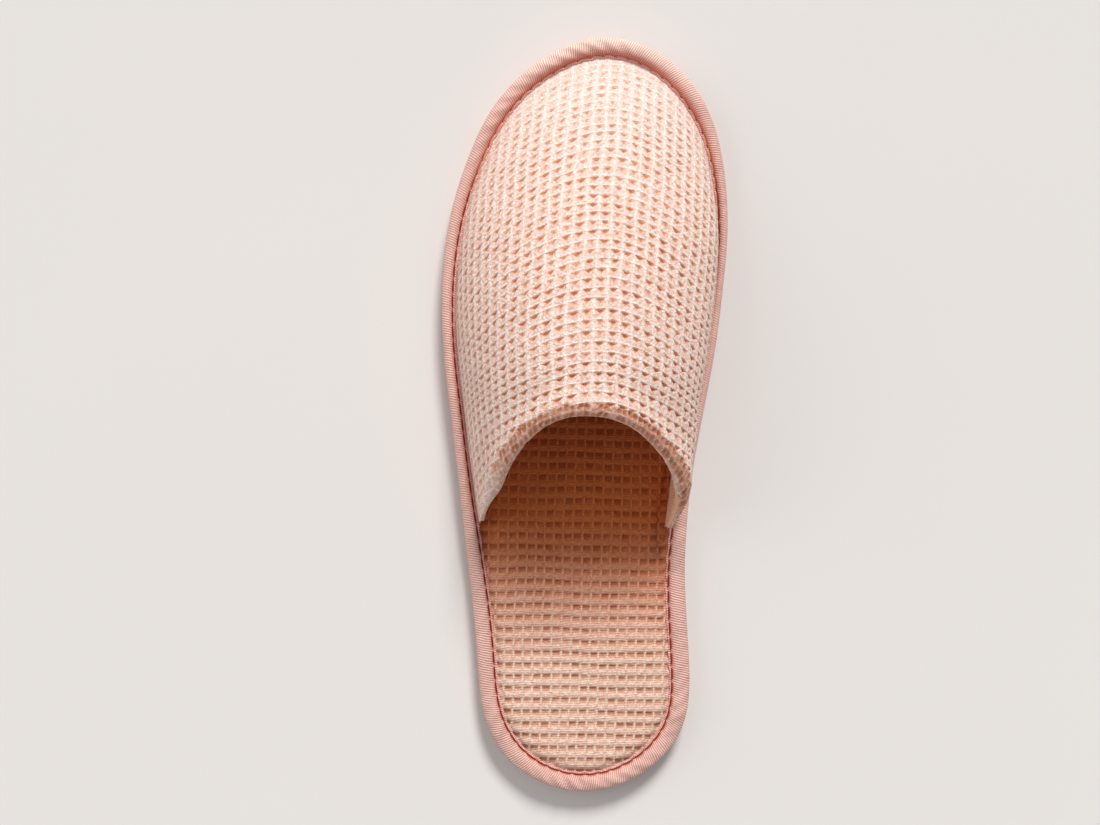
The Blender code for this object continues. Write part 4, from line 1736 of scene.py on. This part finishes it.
@dataclass
class Binding:
    """Folded tape round the whole edge, with its seams on top and underneath."""

    last: Last
    tape: Finish
    thread: Finish
    steps: int = 940
    lip: float = 6.5            # underside of the tape's top edge, round the heel
    lift: float = 1.5           # how much higher it is where the upper lies under it
    bottom_width: float = 7.4
    bottom_seam: float = 5.6
    bottom_stitch_up: float = 0.72
    seam_inset: float = 0.75    # from the tape's inner edge to its top seam
    stitches: int = 114
    stitch_share: float = 0.84  # of a stitch's pitch that its thread shows
    thread_size: tuple[float, float] = (0.6, 0.52)      # width and height of a stitch
    toe: tuple[float, float] = (0.70, 0.97)     # shares of the length over which the hump's painted shade grows and the seam's eases

    def lifted(self, plan: Array) -> Array:
        """How much the top edge is lifted at places along the outline."""
        start = self.last.throat_end * self.last.length
        return self.lift * smooth_step(plan[:, 1], start - 18, start - 1)

    def profile(self, width: float, lift: float) -> Array:
        """Section of the tape, closed.

        Args:
            width: From the outline to the tape's inner edge.
            lift: How much the top is raised.

        Returns:
            Rows of inset, height and seam mark: 1 for the painted shade in the seam, less on the
                hump's inner slope, -1 on the folded edge.
        """
        roll = width - self.seam_inset - 0.3
        top = self.lip + lift
        base, crown = top - 0.05, top + 1.95
        seam = self.bottom_seam
        turns = np.linspace(0.0, 0.92 * math.pi, TapeRow.SIDE - TapeRow.HUMP)
        # the third number is painted shade on the hump's inner slope
        hump = [(roll * (0.5 + 0.5 * math.cos(t)), base + (crown - base) * math.sin(t) ** 0.8,
                 0.6 * math.exp(-t * t * 0.7)) for t in turns]
        return np.array([
            (width + 0.2, top - 0.3, 0.6), (width + 0.2, top, -0.5),
            (width, top + 0.2, -1), (width - 0.2, top + 0.25, -1), (width - 0.45, top + 0.2, -0.2),
            (width - self.seam_inset, top - 0.1, 1), *hump,
            (0.0, crown - 2.6, 0), (0.0, crown * 0.5, 0), (0.06, 2.6, 0), (0.35, 1.5, 0),
            (1.0, 0.6, 0), (1.9, 0.12, 0), (2.9, 0.0, 0), (4.0, 0.1, 0), (4.8, 0.38, 0),
            (seam - 0.35, 0.7, 0.6), (seam, 0.85, 1), (seam + 0.3, 0.6, 0.3),
            (seam + 0.8, 0.42, -0.4), (self.bottom_width - 0.4, 0.42, -0.4),
            (self.bottom_width, 0.65, 0), (self.bottom_width, 1.1, 0), (4.6, 1.1, 0),
            (1.1, 1.1, 0), (1.1, top * 0.5, 0), (1.1, top, 0),
        ])

    def build(self) -> list[bpy.types.Object]:
        """Make the tape and its stitches.

        Returns:
            The tape, then the thread.
        """
        length = float(self.last.run[-1])
        run = np.linspace(0, length, self.steps, endpoint=False)
        plan, way, width = self.last.at_run(run)
        shape = np.stack([self.profile(*size) for size in zip(width, self.lifted(plan))])
        self.crease(shape, run, plan)
        self.mark(shape, run, plan)
        rows = shape.shape[1]
        patch = Patch(self.steps, rows)
        i, j = patch.column % self.steps, patch.row % rows
        flat = plan[i] + way[i] * shape[i, j, 0][:, None]
        patch.place(np.column_stack([flat, shape[i, j, 1]]))
        girth = np.linalg.norm(np.diff(shape[..., :2], axis=1), axis=2).cumsum(axis=1)
        girth = np.concatenate([np.zeros((self.steps, 1)), girth], axis=1)
        patch.close()
        notes = np.column_stack([run[i], girth[i, j], shape[i, j, 2]])[patch.left()]
        tape = finish_piece(patch.bm, "binding_tape", self.last, self.tape, notes,
                            length)
        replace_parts(tape, "binding")
        return [tape, self.make_stitches()]

    def stitched(self, run: Array) -> tuple[Array, Array]:
        """Read how places along the tape lie to its stitches.

        Args:
            run: Distances from the heel.

        Returns:
            Places in the pitch of the stitches, from 0 to 1, and how near each is to a hole.
        """
        pitch = self.last.run[-1] / self.stitches
        phase = run / pitch % 1
        return phase, np.exp(-(np.minimum(phase, 1 - phase) * pitch / 0.8) ** 2)

    def crease(self, shape: Array, run: Array, plan: Array) -> None:
        """Puff the tape between its stitches and gather it round the heel and the toe.

        Args:
            shape: Sections round the outline, changed in place.
            run: Distance of each from the heel.
            plan: Outline point of each.
        """
        phase, pinch = self.stitched(run)
        ends = smooth_step(np.abs(plan[:, 1] - self.last.middle[1]), 90, 130)
        slant = run[:, None] + 1.1 * shape[..., 0]
        gather = Wobble(71, 6.0).at(slant) * (0.07 + 0.26 * ends[:, None])
        slow = Wobble(72, 26).at(slant) * 0.12
        crown = np.clip(shape[0, :, 1] - self.lip - 0.6, 0, 1.1) / 1.1
        crown[TapeRow.SIDE:] = 0
        seam = np.zeros(shape.shape[1])
        seam[TapeRow.EDGE:TapeRow.HUMP + 1] = (0.4, 0.9, 1.3, 1.5, 1.0, 1.0)
        shape[..., 1] += (gather + slow) * crown
        shape[..., 1] -= np.outer(pinch, 0.3 * crown * (crown < 0.9) + 0.22 * seam)
        shape[:, :TapeRow.SEAM, 0] += (0.2 * np.cos(phase * math.tau)
                                       + 0.12 * Wobble(73, 5).at(run) - 0.15)[:, None]

    def mark(self, shape: Array, run: Array, plan: Array) -> None:
        """Open the seam's painted shadow between the stitches, wider round the heel than at the
        toe, and keep the painted shade on the hump's inner slope mostly at the toe.

        Args:
            shape: Sections round the outline, whose seam marks are changed in place.
            run: Distance of each from the heel.
            plan: Outline point of each.
        """
        _, pinch = self.stitched(run)
        at_toe = smooth_step(plan[:, 1], *(share * self.last.length for share in self.toe))
        marks, hump = shape[..., 2], TapeRow.HUMP
        marks[:, TapeRow.SEAM - 1:hump + 1] -= pinch[:, None] * (1.4, 1.5, 0.5)
        marks[:, hump:TapeRow.SIDE] *= 0.2 + 0.8 * at_toe[:, None]
        marks[:, hump:hump + 3] += np.outer((1 - at_toe) * (1 - 1.2 * pinch), (0.8, 0.6, 0.2))
        marks[:, TapeRow.EDGE:TapeRow.SEAM] *= 0.6 + 0.4 * at_toe[:, None]
        marks[:, TapeRow.SEAM] *= 1 - 0.45 * at_toe

    def make_stitches(self) -> bpy.types.Object:
        """Make the thread of both seams.

        Returns:
            The thread in one mesh.
        """
        count = self.stitches
        pitch = self.last.run[-1] / count
        plan, way, width = self.last.at_run((np.arange(count) + 0.5) * pitch)
        top = self.lip + self.lifted(plan) + 0.12
        half_size = [size / 2 for size in (pitch * self.stitch_share, *self.thread_size)]
        size, on_side = Matrix.Diagonal((*half_size, 1)), Matrix.Rotation(math.pi / 2, 4, "Y")
        level = np.ones(count)
        bm = bmesh.new()
        for inset, up in ((width - self.seam_inset, top),
                          (level * self.bottom_seam, level * self.bottom_stitch_up)):
            spots = plan + way * inset[:, None]
            ways = np.roll(spots, -1, axis=0) - np.roll(spots, 1, axis=0)
            for (x, y), (dx, dy), z in zip(spots.tolist(), ways.tolist(), up.tolist()):
                spot = Matrix.Translation((x, y, z)) @ Matrix.Rotation(math.atan2(dy, dx), 4, "Z")
                bmesh.ops.create_uvsphere(bm, u_segments=8, v_segments=6, radius=1,
                                          matrix=spot @ size @ on_side)
        return finish_piece(bm, "seam_thread", self.last, self.thread)


# ---------------------------------------------------------------------------- surroundings
@dataclass(frozen=True)
class Camera:
    """Camera almost straight above the slipper, turned a little. Places in mm in the frame."""

    location: tuple[float, float, float] = (-62.98, 0.8, 598.0)
    aim: tuple[float, float, float] = (-10.98, 0.8, 0.0)
    roll: float = 1.7           # degrees that its upper edge leans to the lateral side
    lens: float = 52.27

    def build(self) -> None:
        """Make the camera and give it to the scene."""
        data = bpy.data.cameras.new("camera")
        data.lens, data.sensor_width = self.lens, 36.0
        data.clip_start, data.clip_end = 0.01, 20.0
        camera = stand("camera", data)
        ahead = (Vector(self.aim) - Vector(self.location)).normalized()
        lean = math.radians(self.roll)
        right = ahead.cross(Vector((-math.sin(lean), math.cos(lean), 0))).normalized()
        turn = Matrix((right, right.cross(ahead), -ahead)).transposed().to_4x4()
        camera.matrix_world = Matrix.Translation(Vector(self.location) * MM) @ turn
        bpy.context.scene.camera = camera


@dataclass(frozen=True)
class Lamp:
    """Soft light from far away."""

    name: str
    turn: float                 # degrees from the toe towards the medial side
    height: float               # degrees above the floor
    size: float                 # degrees across
    strength: float
    colour: Colour = (1.0, 0.985, 0.965)

    def build(self) -> None:
        """Make the light."""
        light = bpy.data.lights.new(self.name, "SUN")
        light.energy, light.angle = self.strength, math.radians(self.size)
        light.color = self.colour
        turn, height = math.radians(self.turn), math.radians(self.height)
        way = Vector((math.sin(turn) * math.cos(height), math.cos(turn) * math.cos(height),
                      math.sin(height)))
        stand(self.name, light).rotation_euler = way.to_track_quat("Z", "Y").to_euler()


@dataclass(frozen=True)
class Studio:
    """Pale floor, soft lights from the toe and from the lateral side, and an even sky."""

    floor: Finish
    lamps: tuple[Lamp, ...]
    floor_half: float = 4.0     # metres from the floor's middle to its edge
    sky: Colour = (0.98, 0.99, 1.0)
    sky_strength: float = 0.36

    def build(self) -> None:
        """Make the floor and the lights."""
        bm = bmesh.new()
        bmesh.ops.create_grid(bm, x_segments=8, y_segments=8, size=self.floor_half)
        mesh = bpy.data.meshes.new("floor")
        bm.to_mesh(mesh)
        bm.free()
        mesh.materials.append(self.floor.material())
        stand("floor", mesh)
        for lamp in self.lamps:
            lamp.build()
        world = bpy.data.worlds.new("fill")
        world.use_nodes = True
        background = world.node_tree.nodes["Background"]
        background.inputs["Color"].default_value = (*self.sky, 1)
        background.inputs["Strength"].default_value = self.sky_strength
        bpy.context.scene.world = world
        bpy.context.scene.view_settings.view_transform = "Standard"


def main() -> None:
    """Build the slipper's sub-assemblies in order and report each piece."""
    logging.basicConfig(level=logging.INFO, format="%(message)s")
    last = Last.from_frame()
    # the deeper colours of both cottons are painted shade down in their cells
    waffle = WaffleCotton(
        "waffle_cotton", raised=(0.96, 0.83, 0.76), blush=(0.92, 0.55, 0.42),
        sunken_shade=(0.78, 0.31, 0.18), shaded_raised=(0.72, 0.42, 0.27), shaded_sunken=(0.45, 0.14, 0.06),
        yarns=3.5, paler_ahead=(0.06, 0.13))
    # the insole's inner colours are painted shade where it lies under the vamp
    padded = WaffleCotton(
        "insole_cotton", raised=(0.84, 0.62, 0.51), blush=(0.79, 0.48, 0.36),
        sunken_shade=(0.50, 0.24, 0.15), shaded_raised=(0.60, 0.165, 0.05),
        shaded_sunken=(0.40, 0.09, 0.027), yarns=3.5, inside=(-0.10, -0.035), shade_depths=(0.3, 1.1),
        banded=True)
    length = float(last.run[-1])
    # the tape's fold and seam colours are painted shade, its colours round the toe painted light,
    # and its edge colour partly painted light
    tape = RibbedTape(
        "ribbed_tape", colour=(0.77, 0.48, 0.415), fold_shade=(0.68, 0.20, 0.13), seam=(0.24, 0.04, 0.03),
        edge=(0.90, 0.36, 0.31), toe_highlight=(1.0, 0.70, 0.60), toe_seam_lit=(0.90, 0.38, 0.29),
        rib=length / round(length / 0.9))
    # the lining's orange is partly painted light: deeper than the cloth's own peach, to stand in
    # for warm light bounced into its shade
    lining = PlainCotton("lining_cotton", colour=(1.0, 0.60, 0.40))
    # the thread's dark rose is partly painted shade of its groove, its paler toe painted light
    thread = SewingThread("seam_thread", colour=(0.22, 0.04, 0.035), toe=(0.85, 0.33, 0.24))
    felt = Felt("grey_felt", light=(0.56, 0.55, 0.62), dark=(0.44, 0.44, 0.51))
    rubber = SoftRubber("dot_rubber", colour=(0.82, 0.82, 0.82))
    for assembly in (Outsole(last, felt, rubber), Insole(last, padded),
                     Upper(last, waffle, lining), Binding(last, tape, thread)):
        for piece in assembly.build():
            LOG.info("%s stands in the frame", piece.name)
    Studio(PaleBoard("pale_board", colour=(0.78, 0.75, 0.73)),
           (Lamp("key", turn=9, height=36, size=17, strength=3.0),
            Lamp("side", turn=-75, height=32, size=50, strength=0.65))).build()
    Camera().build()


if __name__ == "__main__":
    main()
